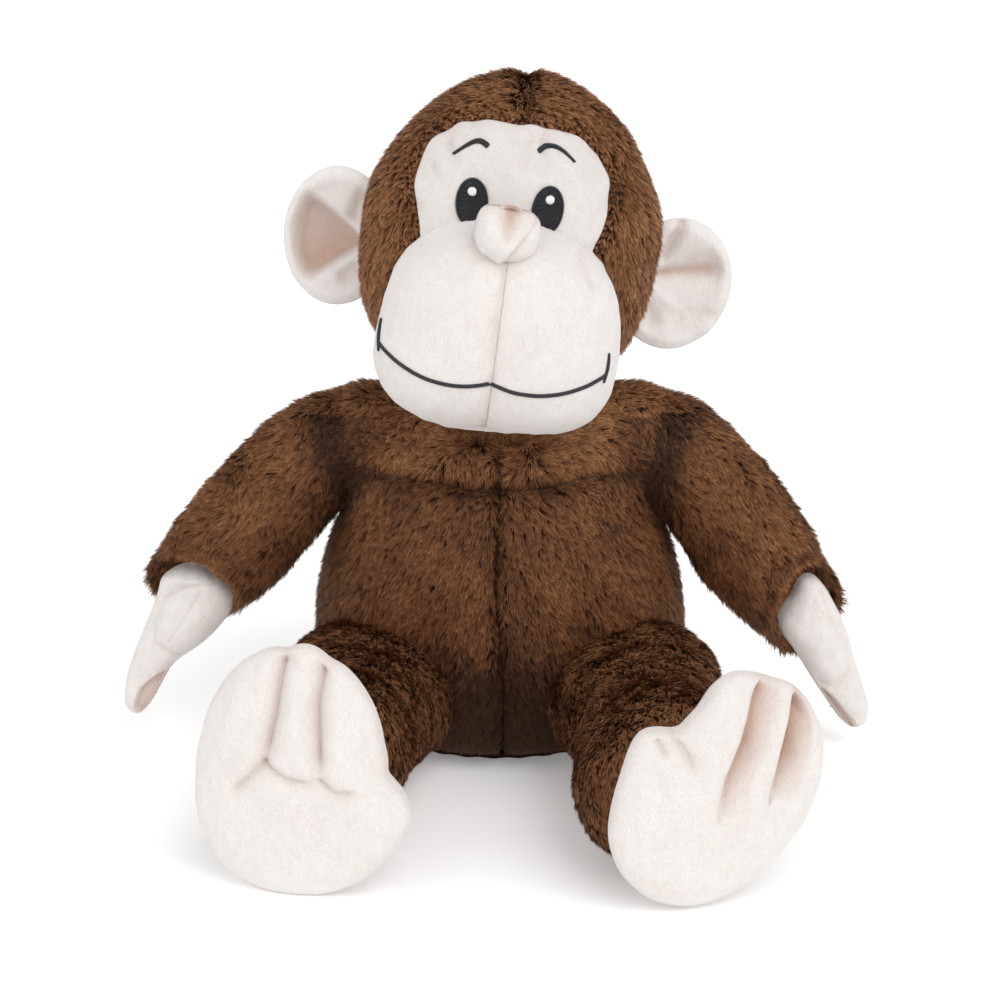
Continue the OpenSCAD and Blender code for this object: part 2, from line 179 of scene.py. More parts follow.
NO_TRIANGLES = np.zeros((0, 3), int)
NO_QUADS = np.zeros((0, 4), int)


def mesh_of(name, points, quads, triangles=NO_TRIANGLES, material=None, flat=0):
    """A new object from points in millimetres. Its last flat faces are a rim, which keeps its edges crisp."""
    mesh = bpy.data.meshes.new(name)
    corners = np.concatenate([quads.ravel(), triangles.ravel()]).astype(np.int32)
    sizes = np.concatenate([np.full(len(quads), 4), np.full(len(triangles), 3)])
    mesh.vertices.add(len(points))
    mesh.loops.add(len(corners))
    mesh.polygons.add(len(sizes))
    mesh.vertices.foreach_set("co", (points * MM).astype(np.float32).ravel())
    mesh.loops.foreach_set("vertex_index", corners)
    mesh.polygons.foreach_set("loop_start", (np.cumsum(sizes) - sizes).astype(np.int32))
    mesh.polygons.foreach_set("use_smooth", np.arange(len(sizes)) < len(sizes) - flat)
    mesh.update(calc_edges=True)
    mesh.validate()
    made = bpy.data.objects.new(name, mesh)
    bpy.context.scene.collection.objects.link(made)
    if material is not None:
        mesh.materials.append(material)
    return made


def grid_quads(index):
    return np.stack([index[:-1, :-1], index[1:, :-1], index[1:, 1:], index[:-1, 1:]], -1).reshape(-1, 4)


def outward(points, quads, triangles=NO_TRIANGLES):
    """The faces of a closed mesh, turned so that they look outwards."""
    both = np.concatenate([quads[:, :3], quads[:, [0, 2, 3]], triangles])
    a, b, c = points[both].transpose(1, 0, 2)
    if (a * np.cross(b, c)).sum() < 0:
        return quads[:, ::-1], triangles[:, ::-1]
    return quads, triangles


def grid_normals(grid):
    rows = np.gradient(grid, axis=0)
    columns = np.gradient(grid, axis=1)
    return unit(np.cross(rows, columns))


def rim_length(counts):
    return 2 * sum(counts) - 4


def two_faced(front, back):
    """Points and quads of a closed piece whose faces are two grids of one size, joined by a rim."""
    rows, columns = front.shape[:2]
    points = np.concatenate([front.reshape(-1, 3), back.reshape(-1, 3)])
    index = np.arange(rows * columns).reshape(rows, columns)
    rim = np.concatenate([index[0, :], index[1:, -1], index[-1, -2::-1], index[-2:0:-1, 0]])
    after = np.roll(rim, -1)
    lift = rows * columns
    walls = np.stack([after, rim, rim + lift, after + lift], -1)
    quads = np.concatenate([grid_quads(index), grid_quads(index)[:, ::-1] + lift, walls])
    return points, outward(points, quads)[0]


def shell(grid, thick, away):
    """Points and quads of a thin closed piece. Its outer face is the grid; away is on its inner side."""
    normals = grid_normals(grid)
    facing = ((grid - away) * normals).sum(-1)
    normals *= np.sign(np.median(facing))
    return two_faced(grid, grid - thick * normals)


def closed_tube(grid):
    """Points, quads and triangles of a closed surface: rings of points between two poles."""
    rows, columns = grid.shape[:2]
    points = np.concatenate([grid[0, :1], grid[1:-1].reshape(-1, 3), grid[-1, :1]])
    index = 1 + np.arange((rows - 2) * columns).reshape(rows - 2, columns)
    index = np.concatenate([index, index[:, :1]], axis=1)
    last = len(points) - 1
    first_fan = np.stack([np.zeros(columns, int), index[0, :-1], index[0, 1:]], -1)
    last_fan = np.stack([np.full(columns, last), index[-1, 1:], index[-1, :-1]], -1)
    quads, triangles = outward(points, grid_quads(index), np.concatenate([first_fan, last_fan]))
    return points, quads, triangles


def add_attribute(made, name, values):
    attribute = made.data.attributes.new(name, "FLOAT", "POINT")
    attribute.data.foreach_set("value", np.asarray(values, np.float32))


def settle(made, body, nodes=()):
    """Hangs a finished piece on the body that it rides on, and hides the imported parts that it stands for.
    """
    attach(made, body)
    if nodes:
        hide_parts(*nodes)
    return made


# ---- Materials ----

class Nodes:
    """A material's node tree, with short ways to add to it."""

    def __init__(self, name):
        self.material = bpy.data.materials.new(name)
        self.material.use_nodes = True
        self.tree = self.material.node_tree
        self.shader = self.tree.nodes["Principled BSDF"]

    def add(self, kind, inputs=None, **settings):
        node = self.tree.nodes.new(kind)
        for key, value in settings.items():
            setattr(node, key, value)
        for key, value in (inputs or {}).items():
            socket = node.inputs[key]
            if isinstance(value, bpy.types.NodeSocket):
                self.tree.links.new(value, socket)
            else:
                socket.default_value = value
        return node

    def ramp(self, factor, stops):
        node = self.add("ShaderNodeValToRGB", {"Fac": factor})
        elements = node.color_ramp.elements
        while len(elements) < len(stops):
            elements.new(0.5)
        for element, (position, colour) in zip(elements, stops):
            element.position = position
            element.color = (*colour, 1)
        return node.outputs["Color"]

    def blend(self, kind, factor, a, b):
        """Two colours mixed. The inputs of a colour mix are its 6th and 7th sockets."""
        node = self.add("ShaderNodeMix", data_type="RGBA", blend_type=kind)
        for place, value in ((0, factor), (6, a), (7, b)):
            if isinstance(value, bpy.types.NodeSocket):
                self.tree.links.new(value, node.inputs[place])
            else:
                node.inputs[place].default_value = value
        return node.outputs[2]

    def noise(self, scale, detail=2.0, roughness=0.5, stretch=(1, 1, 1)):
        where = self.add("ShaderNodeTexCoord").outputs["Object"]
        moved = self.add("ShaderNodeMapping", {"Vector": where, "Scale": stretch}).outputs["Vector"]
        inputs = {"Vector": moved, "Scale": scale, "Detail": detail, "Roughness": roughness}
        return self.add("ShaderNodeTexNoise", inputs).outputs["Fac"]

    def bumped(self, height, distance, strength=1.0):
        node = self.add("ShaderNodeBump", {"Height": height, "Distance": distance, "Strength": strength})
        self.tree.links.new(node.outputs["Normal"], self.shader.inputs["Normal"])

    def finish(self, colour, **settings):
        self.tree.links.new(colour, self.shader.inputs["Base Color"])
        for key, value in settings.items():
            self.shader.inputs[key.replace("_", " ")].default_value = value
        return self.material


PILE_UV = "OFBake"
TINTS = 64


def pile_material():
    """Fur fibres: near-black at the root, which is painted shade deep in the pile, and light at the tip, in
    many tints. U is the tint, which carries painted light and shade besides the fibres' own tone, and V the
    way along.
    """
    nodes = Nodes("brown_pile")
    where = nodes.add("ShaderNodeUVMap", uv_map=PILE_UV).outputs["UV"]
    split = nodes.add("ShaderNodeSeparateXYZ", {"Vector": where})
    along = nodes.ramp(split.outputs["Y"], [
        # The root's near-black is painted shade deep in the pile
        (0.0, (0.012, 0.005, 0.003)),
        (0.35, (0.060, 0.022, 0.008)),
        (0.7, (0.215, 0.084, 0.030)),
        (1.0, (0.460, 0.215, 0.092)),
    ])
    tint = nodes.ramp(split.outputs["X"], [
        (0.0, (0.20, 0.19, 0.20)),
        (0.35, (0.74, 0.72, 0.72)),
        (0.65, (1.0, 0.98, 0.95)),
        (1.0, (1.6, 1.75, 1.9)),
    ])
    return nodes.finish(
        nodes.blend("MULTIPLY", 1.0, along, tint),
        Roughness=0.6, Specular_IOR_Level=0.22, Sheen_Weight=0.10, Sheen_Roughness=0.4,
        Sheen_Tint=(0.9, 0.62, 0.42, 1),
    )


def backing_material():
    """The woven back of the fur cloth. Its near-black colour is painted shade, the shade deep in the pile
    that shows between the fibres.
    """
    nodes = Nodes("brown_backing")
    knit = nodes.noise(900.0, 3.0, 0.6, (1, 1, 0.5))
    patch = nodes.noise(60.0)
    # Painted shade: the near-black of the cloth deep in the pile
    deep = nodes.ramp(knit, [(0.3, (0.012, 0.005, 0.003)), (0.75, (0.050, 0.021, 0.010))])
    worn = nodes.ramp(patch, [(0.3, (0.7, 0.7, 0.7)), (0.7, (1.2, 1.15, 1.1))])
    nodes.bumped(knit, 0.0008)
    return nodes.finish(nodes.blend("MULTIPLY", 1.0, deep, worn), Roughness=0.95, Specular_IOR_Level=0.1)


def velboa_material(name, shadow, light=1.0):
    """Short cream pile: a fine nap, soft patches where it lies differently, and a warm painted shade in its
    folds. A light below 1 darkens the whole cloth with painted shade.
    """
    nodes = Nodes(name)
    nap = nodes.noise(1500.0, 3.0, 0.65, (1, 1, 0.45))
    brushed = nodes.noise(260.0, 3.0, 0.6, (1, 1, 0.5))
    patch = nodes.noise(45.0, 2.0)
    low, high = ([light * part for part in tone] for tone in ((0.675, 0.635, 0.612), (0.79, 0.76, 0.738)))
    cream = nodes.ramp(nap, [(0.25, low), (0.7, high)])
    lain = nodes.ramp(brushed, [(0.3, (0.94, 0.93, 0.925)), (0.7, (1.0, 1.0, 1.0))])
    soft = nodes.ramp(patch, [(0.3, (0.965, 0.955, 0.95)), (0.7, (1.0, 1.0, 1.0))])
    cloth = nodes.blend("MULTIPLY", 1.0, nodes.blend("MULTIPLY", 1.0, cream, lain), soft)
    fold = nodes.add("ShaderNodeAttribute", attribute_name="fold").outputs["Fac"]
    # Painted shade: the fold attribute darkens the cloth towards the warm shadow colour
    tinted = nodes.blend("MULTIPLY", fold, cloth, (*shadow, 1))
    height = nodes.add("ShaderNodeMath", {0: nap, 1: brushed}, operation="ADD").outputs[0]
    nodes.bumped(height, 0.0006, 0.55)
    return nodes.finish(tinted, Roughness=0.85, Specular_IOR_Level=0.2, Sheen_Weight=0.5, Sheen_Roughness=0.4)


def thread_material(name, dark, light):
    nodes = Nodes(name)
    strand = nodes.noise(2600.0, 2.0, 0.6)
    colour = nodes.ramp(strand, [(0.3, dark), (0.75, light)])
    nodes.bumped(strand, 0.0002)
    return nodes.finish(colour, Roughness=0.55, Specular_IOR_Level=0.35)


PILE = pile_material()
BACKING = backing_material()
CREAM = velboa_material("cream_velboa", (0.66, 0.44, 0.34))
# The face mask's cream, darkened all over by painted shade, as the sunk face lies in shade
SHADED_CREAM = velboa_material("cream_velboa_painted_shade", (0.66, 0.44, 0.34), 0.91)
# The black thread's lighter specks are partly painted sheen on the thread and partly its own uneven tone
BLACK = thread_material("black_thread", (0.003, 0.003, 0.004), (0.060, 0.062, 0.070))
WHITE = thread_material("white_thread", (0.78, 0.80, 0.84), (0.95, 0.95, 0.96))


# ---- Fur ----

def scatter(points, triangles, density, seed):
    """Evenly random places on a mesh, with the surface's normals there."""
    random = np.random.default_rng(seed)
    a, b, c = points[triangles].transpose(1, 0, 2)
    across = np.cross(b - a, c - a)
    normals = np.zeros_like(points)
    for corner in range(3):
        np.add.at(normals, triangles[:, corner], across)
    normals = unit(normals)
    areas = np.linalg.norm(across, axis=1) / 2
    count = int(areas.sum() / 100 * density)
    pick = np.searchsorted(np.cumsum(areas), random.random(count) * areas.sum())
    pick = np.minimum(pick, len(triangles) - 1)
    root, turn = np.sqrt(random.random(count)), random.random(count)
    shares = np.stack([1 - root, root * (1 - turn), root * turn], -1)[:, :, None]
    chosen = triangles[pick]
    return (points[chosen] * shares).sum(1), unit((normals[chosen] * shares).sum(1))


def tufts(roots, normals, seed):
    """The way from each root to the middle of its tuft, and four random shares, 0 to 1, for the tuft."""
    wavy = np.stack([ripple(roots, 11.0, seed + k) for k in range(3)], -1)
    placed = (roots + 1.6 * wavy) / TUFT_SIZE
    cell = np.floor(placed)
    shares = np.modf(np.abs(np.sin(cell @ HASH_MIX) * HASH_SPREAD))[0]
    pull = (cell + 0.25 + 0.5 * shares[:, :3] - placed) * TUFT_SIZE
    return pull - (pull * normals).sum(-1, keepdims=True) * normals, shares


def fibres(name, roots, normals, nap, length, tint, rise, seed):
    """One mesh of flat pointed fibres that grow from the roots, lie over along the nap and meet in tufts."""
    random = np.random.default_rng(seed)
    count = len(roots)
    nap = unit(nap - (nap * normals).sum(-1, keepdims=True) * normals)
    side = np.cross(nap, normals)
    pull, shares = tufts(roots, normals, seed)
    swing = (shares[:, 3:] - 0.5) * 0.7 + ripple(roots, 15.0, seed + 5)[:, None] * 0.20
    lift = (shares[:, 0] - 0.5) * 0.5 + random.normal(size=count) * 0.12
    edge = np.linalg.norm(pull, axis=-1) / TUFT_SIZE
    # Random tone by tuft, and painted light and shade: fibres near a tuft's middle are lighter than those at
    # its edge, where the gaps between tufts are shaded
    tint = tint + (shares[:, 1] - 0.5) * 0.26 + 0.14 * ease(0.55, 0.1, edge) - 0.06
    loose = random.normal(size=(count, 1)) * 0.20
    along = unit(nap + side * (swing + loose))
    steep = np.clip(rise + lift, 0.12, 1.8)[:, None]
    flat = np.clip(rise * 0.4 + lift, 0.0, 1.4)[:, None]
    first = unit(normals * steep * 1.3 + along)
    second = unit(normals * flat + along)
    size = (length * random.uniform(0.7, 1.1, count))[:, None]
    spread = unit(np.cross(first, normals) + side * 1e-6)
    twist = random.uniform(-0.7, 0.7, count)[:, None]
    spread = spread * np.cos(twist) + np.cross(first, spread) * np.sin(twist)
    width = PILE_WIDTH * random.uniform(0.7, 1.25, count)[:, None] / 2
    base = roots - normals * 0.5
    bend = base + first * size * 0.5 + pull * 0.25
    tip = bend + second * size * 0.5 + pull * 0.36
    points = np.stack([base, bend + spread * width, bend - spread * width, tip], 1).reshape(-1, 3)
    start = np.arange(count)[:, None] * 4
    triangles = np.concatenate([start + np.array([0, 1, 2]), start + np.array([2, 1, 3])], 1).reshape(-1, 3)
    made = mesh_of(name, points, NO_QUADS, triangles, PILE)
    # Shaded by the way the cloth faces and the fibre leans, as a soft mass is
    mass = unit(normals + 0.35 * first + 0.22 * random.normal(size=(count, 3)))
    shading = made.data.attributes.new("custom_normal", "FLOAT_VECTOR", "POINT")
    shading.data.foreach_set("vector", np.repeat(mass, 4, axis=0).astype(np.float32).ravel())
    strip = (np.floor(np.clip(tint, 0, 0.999) * TINTS) + 0.5) / TINTS
    half = 0.35 / TINTS
    corner_u = np.array([0, half, -half, -half, half, 0])
    corner_v = np.array([0.02, 0.5, 0.5, 0.5, 0.5, 0.98])
    u = strip[:, None] + corner_u
    uv = np.stack([u, np.broadcast_to(corner_v, u.shape)], -1)
    layer = made.data.uv_layers.new(name=PILE_UV)
    layer.data.foreach_set("uv", uv.astype(np.float32).ravel())
    return made


def fur(body, skin, panels, nap, seed, keep=None, length=None, shade=None, rise=0.85, density=1.0):
    """Fur on a skin's mesh, one piece of it for each sewn panel.

    panels maps each panel's name to the test that says which roots are its own.
    """
    points, quads, triangles = skin
    flat = np.concatenate([quads[:, :3], quads[:, [0, 2, 3]], triangles])
    roots, normals = scatter(points, flat, PILE_PER_CM2 * density, seed)
    if keep is not None:
        kept = keep(roots)
        roots, normals = roots[kept], normals[kept]
    sizes = np.full(len(roots), PILE_LENGTH) if length is None else PILE_LENGTH * length(roots)
    tint = 0.48 + 0.06 * ripple(roots, 3.2, seed + 5) + 0.11 * ripple(roots, 20.0, seed + 6)
    tint += np.random.default_rng(seed + 7).normal(size=len(roots)) * 0.12
    if shade is not None:
        tint += shade(roots)
    directions = nap(roots)
    lean = rise(roots) if callable(rise) else np.full(len(roots), rise)
    for number, (name, belongs) in enumerate(panels.items()):
        own = belongs(roots)
        made = fibres(
            f"{name}_pile", roots[own], normals[own], directions[own], sizes[own],
            tint[own], lean[own], seed + 10 * number + 20,
        )
        settle(made, body, [name] if name in frame["nodes"] else ())


def backing(name, skin, body, nodes):
    """The cloth that the fur grows from, a stuffed closed skin."""
    made = mesh_of(name, *skin, material=BACKING)
    return settle(made, body, nodes)


# ---- Torso and neck ----

BELLY_W = 83.5
BELLY_D = 62.0
NECK_Z = 152.0
# Shares of the belly's half width and half depth, by height
TORSO_WIDTHS = [
    (0, 0.74), (18, 0.94), (40, 1.01), (58, 1.01), (82, 0.97), (107, 0.86), (130, 0.66), (152, 0.36),
]
TORSO_DEPTHS = [(0, 0.68), (18, 0.9), (40, 0.99), (58, 1), (82, 0.93), (107, 0.81), (130, 0.66), (152, 0.42)]
TORSO_MID = np.array([0.0, 0.0, 82.0])
# Round bars that carry each shoulder, on the left: two ends, a radius and how softly it joins the body
SHOULDER_ROOTS = [((30, 0, 124), (60, 0, 135), 24.5, 16), ((18, 2, 142), (56, 0, 139.5), 22.5, 10)]
CHEST_CREASE_Z = 125.5
CHEST_CREASE_BOW = 0.0016


def profile(table, z, rounding=3):
    """A table of shares by height or by the way along a limb, its corners rounded."""
    heights, shares = np.array(table, float).T
    return rounded(lambda shift: np.interp(z + shift * rounding, heights, shares), (-3, -1, 1, 3))


def to_capsule(p, a, b, radius):
    line = b - a
    t = np.clip(((p - a) @ line) / (line @ line), 0, 1)
    return np.linalg.norm(p - a - t[..., None] * line, axis=-1) - radius


def off_seam(p):
    """How far to its left points are of the torso's middle seam."""
    return p[..., 0] - 1.5 * np.sin(p[..., 2] / 19)


def above_crease(p):
    """How far points are above the crease across the chest, which bows up at its ends."""
    x = p[..., 0]
    return p[..., 2] - CHEST_CREASE_Z - CHEST_CREASE_BOW * x * x


def torso_distance(p):
    """About how far points are outside the torso, the shoulders' roots included."""
    x, y, z = p[..., 0], p[..., 1], p[..., 2]
    half_w = BELLY_W * profile(TORSO_WIDTHS, z)
    half_d = BELLY_D * profile(TORSO_DEPTHS, z)
    body = (np.hypot(x / half_w, y / half_d) - 1) * np.minimum(half_w, half_d)
    body = smooth_max(body, z - NECK_Z - 2, 16)
    for side in SIDES.values():
        for root, tip, radius, blend in SHOULDER_ROOTS:
            ends = [side, 1, 1] * np.array([root, tip])
            body = smooth_min(body, to_capsule(p, *ends, radius), blend)
    seam = 4.0 * bump(off_seam(p), 2.6) * ease(3, 22, z)
    in_front = ease(66, 40, np.abs(x)) * ease(-10, -30, y)
    crease = 4.6 * bump(above_crease(p), 3.4) * in_front
    fold = 2.2 * bump(z - 58 + 0.10 * np.abs(x), 4.0) * ease(50, 75, np.abs(x)) * ease(0, -20, y)
    return smooth_max(body + seam + crease + fold, 1.0 - z, 12)


def torso_skin():
    polar = np.linspace(0, math.pi, 92)
    around = np.linspace(0, 2 * math.pi, 224, endpoint=False)
    a, p = np.meshgrid(around, polar)
    rays = np.stack([np.sin(p) * np.cos(a), np.sin(p) * np.sin(a), np.cos(p)], -1)
    reach = np.linspace(8, 128, 121)
    found = torso_distance(TORSO_MID + rays[:, :, None] * reach[:, None]) + PILE_DEPTH
    inside = np.where(found < 0, np.arange(len(reach)), -1).max(-1)
    inside = np.clip(inside, 0, len(reach) - 2)
    near = np.take_along_axis(found, inside[..., None], -1)[..., 0]
    far = np.take_along_axis(found, inside[..., None] + 1, -1)[..., 0]
    distance = reach[inside] + near / np.minimum(near - far, -1e-6) * (reach[1] - reach[0])
    return closed_tube(TORSO_MID + rays * distance[..., None])


def in_limb_ball(p, grow=-3.0):
    """Which points are inside a limb's ball end, where no fur can show."""
    inside = np.zeros(p.shape[:-1], bool)
    for name, radius in (("shoulder", 24), ("hip", 31)):
        for side in SIDES:
            centre = PIVOT[f"{name}_{side}_swing"]
            inside |= np.linalg.norm(p - centre, axis=-1) < radius + grow - PILE_DEPTH
    return inside


def torso_nap(p):
    """Combed down and out from the seams, and ruffled up over the chest."""
    x, z = p[..., 0], p[..., 2]
    parted = 0.42 * np.tanh(x / 14) + 0.5 * np.sign(off_seam(p)) * bump(off_seam(p), 5)
    down = np.stack([parted, np.zeros_like(x), np.full_like(x, -1.0)], -1)
    ruffled = np.stack([0.9 * np.tanh(x / 30), 0 * x, np.full_like(x, -0.55)], -1)
    ruffled += np.stack([ripple(p, 30, 5), 0.3 * ripple(p, 24, 6), ripple(p, 26, 7)], -1)
    return mix(down, ruffled, ease(CHEST_CREASE_Z - 4, CHEST_CREASE_Z + 10, z)[..., None] * 0.8)


def make_torso():
    skin = torso_skin()
    backing("torso_cloth", skin, "torso", ["torso_filling", "pellet_bag"])
    panels = {
        "torso_front_left": lambda p: (p[:, 1] < 0) & (p[:, 0] >= 0),
        "torso_front_right": lambda p: (p[:, 1] < 0) & (p[:, 0] < 0),
        "torso_back_left": lambda p: (p[:, 1] >= 0) & (p[:, 0] >= 0),
        "torso_back_right": lambda p: (p[:, 1] >= 0) & (p[:, 0] < 0),
    }

    def seam_gap(p):
        return np.abs(off_seam(p))

    def crease_gap(p):
        return np.abs(above_crease(p)) + 40 * (p[:, 1] > 0)

    def arm_gap(p):
        ball = PIVOT["shoulder_left_swing"]
        return np.linalg.norm(np.abs(p) * [1, 0, 0] + p * [0, 1, 1] - ball, axis=-1) - 24

    # Painted shade: darker along the middle seam, the chest crease and beside the arms, towards the toy's
    # right side and low on the belly's front. Above the chest crease the ruffled fur is lighter, partly its
    # own lighter tips and partly painted highlight.
    def shade(p):
        dark = -0.60 * bump(seam_gap(p), 1.9) - 0.30 * bump(crease_gap(p), 3.2)
        dark = dark - 0.58 * bump(arm_gap(p), 4.5) * (p[:, 2] < 152) - 0.2 * ease(-52, -80, p[:, 0])
        dark = dark - 0.85 * ease(80, 20, p[:, 2]) * ease(0, -25, p[:, 1]) * ease(80, 30, np.abs(p[:, 0]))
        return dark - 0.04 + 0.37 * ease(CHEST_CREASE_Z, CHEST_CREASE_Z + 8, p[:, 2])

    fur(
        "torso", skin, panels, torso_nap, 100,
        keep=lambda p: ~in_limb_ball(p) & (p[:, 2] > 2.4) & (seam_gap(p) > 0.45),
        length=lambda p: 1 - 0.4 * bump(seam_gap(p), 2.2) * ease(3, 22, p[:, 2]) - 0.5 * ease(14, 3, p[:, 2]),
        shade=shade,
    )


def make_seat():
    """The flat cloth panel that the toy sits on, gathered a little along its seam."""
    low, high = (np.array(corner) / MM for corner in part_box("seat_panel"))
    half = (high - low) / 2
    centre = (high + low) / 2

    def at(d):
        share = np.linalg.norm(d, axis=-1)
        around = np.arctan2(d[..., 1], d[..., 0])
        hollow = 0.5 * ease(1, 0.8, share) + 0.25 * np.sin(26 * around) * ease(0.75, 1, share)
        x = centre[0] + half[0] * 0.98 * d[..., 0]
        y = centre[1] + half[1] * 0.98 * d[..., 1]
        return np.stack([x, y, low[2] + 1.0 - hollow], -1)

    points, quads = shell(at(disc(*square_grid((61, 61)))), 2.0, centre + [0, 0, 30])
    made = mesh_of("seat_panel_cloth", points, quads, material=BACKING)
    settle(made, "torso", ["seat_panel"])


def make_neck():
    centre = PIVOT["neck_turn"]
    heights = np.linspace(-20, 13, 14)
    radii = np.array([0, *np.full(len(heights), 26.5), 0])
    levels = np.array([-20, *heights, 13])
    a = np.linspace(0, 2 * math.pi, 48, endpoint=False)
    ring = np.stack([np.cos(a), np.sin(a), np.zeros_like(a)], -1)
    grid = centre + radii[:, None, None] * ring + levels[:, None, None] * np.array([0, 0, 1])
    skin = closed_tube(grid)
    backing("neck_cloth", skin, "neck", ["neck_filling"])
    sides = {"neck": lambda p: np.ones(len(p), bool)}
    fur(
        "neck", skin, sides, lambda p: np.broadcast_to([0.0, 0.0, -1.0], p.shape), 170,
        keep=lambda p: np.hypot(p[:, 0], p[:, 1]) > 22, density=0.8,
    )


# ---- Head ----

HEAD_UP = unit(AXIS["ear_left_flop"])
HEAD_X = unit(np.cross([0.0, 1.0, 0.0], HEAD_UP))
HEAD = Place(middle("head_filling"), HEAD_X, [0.0, 1.0, 0.0], HEAD_UP)
# Edge of the face opening: angle from the crown, then angle from the face's axis
FACE_EDGE = [
    (0, 51.2), (7, 51.8), (20, 57), (34, 60.5), (45, 60), (56, 54), (67, 45), (84, 34),
    (110, 38), (150, 52), (180, 60),
]
CROWN_CAP = 125


def face_edge(around):
    """The face opening's angle off the face's axis, by the angle round it from +X, in radians."""
    from_crown = np.degrees(np.arccos(np.clip(np.sin(around), -1, 1)))
    angles, edges = np.array(FACE_EDGE, float).T
    return np.radians(
        rounded(lambda shift: np.interp(np.abs(from_crown + shift), angles, edges), (-6, -2, 2, 6)))


def fullness(around):
    """How far the head's front outline swells beyond an ellipse: fuller at the jowls, leaner at the crown."""
    power = mix(2.6, 1.8, ease(-0.5, 0.5, np.sin(around)))
    return (np.abs(np.cos(around)) ** power + np.abs(np.sin(around)) ** power) ** (-1 / power)


def off_axis(p):
    """Angles off the face's axis and round it, of head points, as on a ball."""
    q = p / HEAD_R
    around = np.arctan2(q[..., 2], q[..., 0])
    off = np.arctan2(np.hypot(q[..., 0], q[..., 2]) / fullness(around), -q[..., 1])
    return off, around


def head_at(off, around, inset):
    radii = HEAD_R - np.asarray(inset)[..., None]
    across = np.sin(off) * fullness(around)
    ball = np.stack([across * np.cos(around), -np.cos(off), across * np.sin(around)], -1)
    return radii * ball


def muzzle_at(d):
    """The muzzle's surface over a disc: an egg, squarer below, parted by its middle and chin seams."""
    share = np.linalg.norm(d, axis=-1)
    off = MUZZLE_WRAP * share
    out = d / np.maximum(share, 1e-9)[..., None]
    ray = np.stack([np.sin(off) * out[..., 0], -np.cos(off), np.sin(off) * out[..., 1]], -1)
    power = mix(2.0, 2.95, ease(0.15, -0.7, ray[..., 2]))
    total = ((np.abs(ray) / MUZZLE_R) ** power[..., None]).sum(-1)
    reach = total ** (-1 / power)
    flat = ray * reach[..., None]
    right = 1 - 0.09 * ease(-26, 22, flat[..., 2]) + 0.02 * ease(-8, -34, flat[..., 2])
    left = 1 - 0.045 * ease(-8, 26, flat[..., 2]) + 0.06 * ease(2, -30, flat[..., 2])
    pear = np.where(flat[..., 0] < 0, right, left)
    low_top = 1 - 0.045 * ease(8, 44, flat[..., 2])
    flat = MUZZLE_C + flat * np.stack([pear, np.ones_like(pear), low_top], -1)
    x, z = flat[..., 0], flat[..., 2]
    front = ease(95, 60, np.degrees(off))
    middle_gap = np.abs(x - 0.5 * np.sin(z / 11))
    parting = (2.2 * bump(middle_gap, 7.0) + 0.55 * bump(middle_gap, 1.2)) * ease(1.2, 0.3, share)
    seam_share = square_height(d / MUZZLE_GROW)
    parting *= ease(CHIN_SHARE - 0.04, CHIN_SHARE + 0.02, seam_share) * 0.8 + 0.2
    chin_gap = np.abs(seam_share - CHIN_SHARE) * 100
    chin = 0.7 * bump(chin_gap, 1.4) + 0.3 * bump(chin_gap, 4)
    lobes = 1.3 * bump(np.hypot(np.abs(x) - 26, z + 6), 17)
    wavy = 0.45 * ripple(flat, 26, 31) + 0.18 * ripple(flat, 9, 32)
    pucker = 0.22 * np.sin(x * 0.7) * bump(chin_gap, 3.5)
    pinch_gap, _ = to_segments(x, z, CHEEK_PINCH)
    pinch = 1.4 * bump(pinch_gap, 2.2)
    moved = flat + ray * (lobes + wavy + pucker * front - parting - chin - pinch)[..., None]
    # Painted warm shade in the middle and chin seams' grooves and in the crease beside the mouth
    fold = 0.17 * bump(middle_gap, 1.5) + 0.06 * bump(middle_gap, 5) + 0.06 * bump(chin_gap, 1.4)
    fold = fold + 0.15 * bump(pinch_gap, 1.6)
    return np.concatenate([moved, np.clip(fold, 0, 1)[..., None]], -1)


def mask_at(d):
    """The sunk face: puckered along its edge, and creased over the nose."""
    share = np.linalg.norm(d, axis=-1)
    around = np.arctan2(d[..., 1], d[..., 0])
    flat = head_at(face_edge(around) * share, around, np.full(share.shape, MASK_SINK))
    x, z = flat[..., 0], flat[..., 2]
    rim = (1 - share) * 44
    gathers = np.sin(19 * around + 1.3 * np.sin(3 * around)) * 0.55 + np.sin(31 * around) * 0.2
    gathers = gathers * bump(rim, 8) * ease(-0.3, 0.3, d[..., 1])
    frown = 0
    for line in ([(4, 46), (2, 33)], [(10, 47), (11, 37)], [(-29, 40), (-24, 33)], [(-34, 30), (-29, 25)]):
        gap, way = to_segments(x, z, line)
        frown = frown + bump(gap, 1.9) * (1 - 0.6 * way)
    sockets = sum(bump(np.hypot((x - s * 16) / 8, (z - 21.5) / 11), 1.0) for s in SIDES.values())
    tuck = 3.6 * ease(2.2, -1.6, rim)
    wavy = 0.35 * ripple(flat, 24, 41) + 0.15 * ripple(flat, 8, 42)
    puff = 1.0 * ease(0, 16, rim)
    moved = flat + unit(flat) * (gathers + wavy + puff - 1.5 * frown - 0.5 * sockets - tuck)[..., None]
    # Painted warm shade in the forehead's creases, along the rim where the mask tucks under the fur, and in
    # the gathers' hollows
    fold = np.clip(0.12 * frown + 0.16 * bump(rim, 3) + 0.15 * np.clip(-gathers, 0, 1), 0, 1)
    return np.concatenate([moved, fold[..., None]], -1)


def surface_normals(surface, d, inside):
    step = 1e-3
    across = surface(d + [step, 0])[..., :3] - surface(d - [step, 0])[..., :3]
    up = surface(d + [0, step])[..., :3] - surface(d - [0, step])[..., :3]
    normals = unit(np.cross(across, up))
    outside = ((surface(d)[..., :3] - inside) * normals).sum(-1, keepdims=True)
    return normals * np.where(outside < 0, -1, 1)


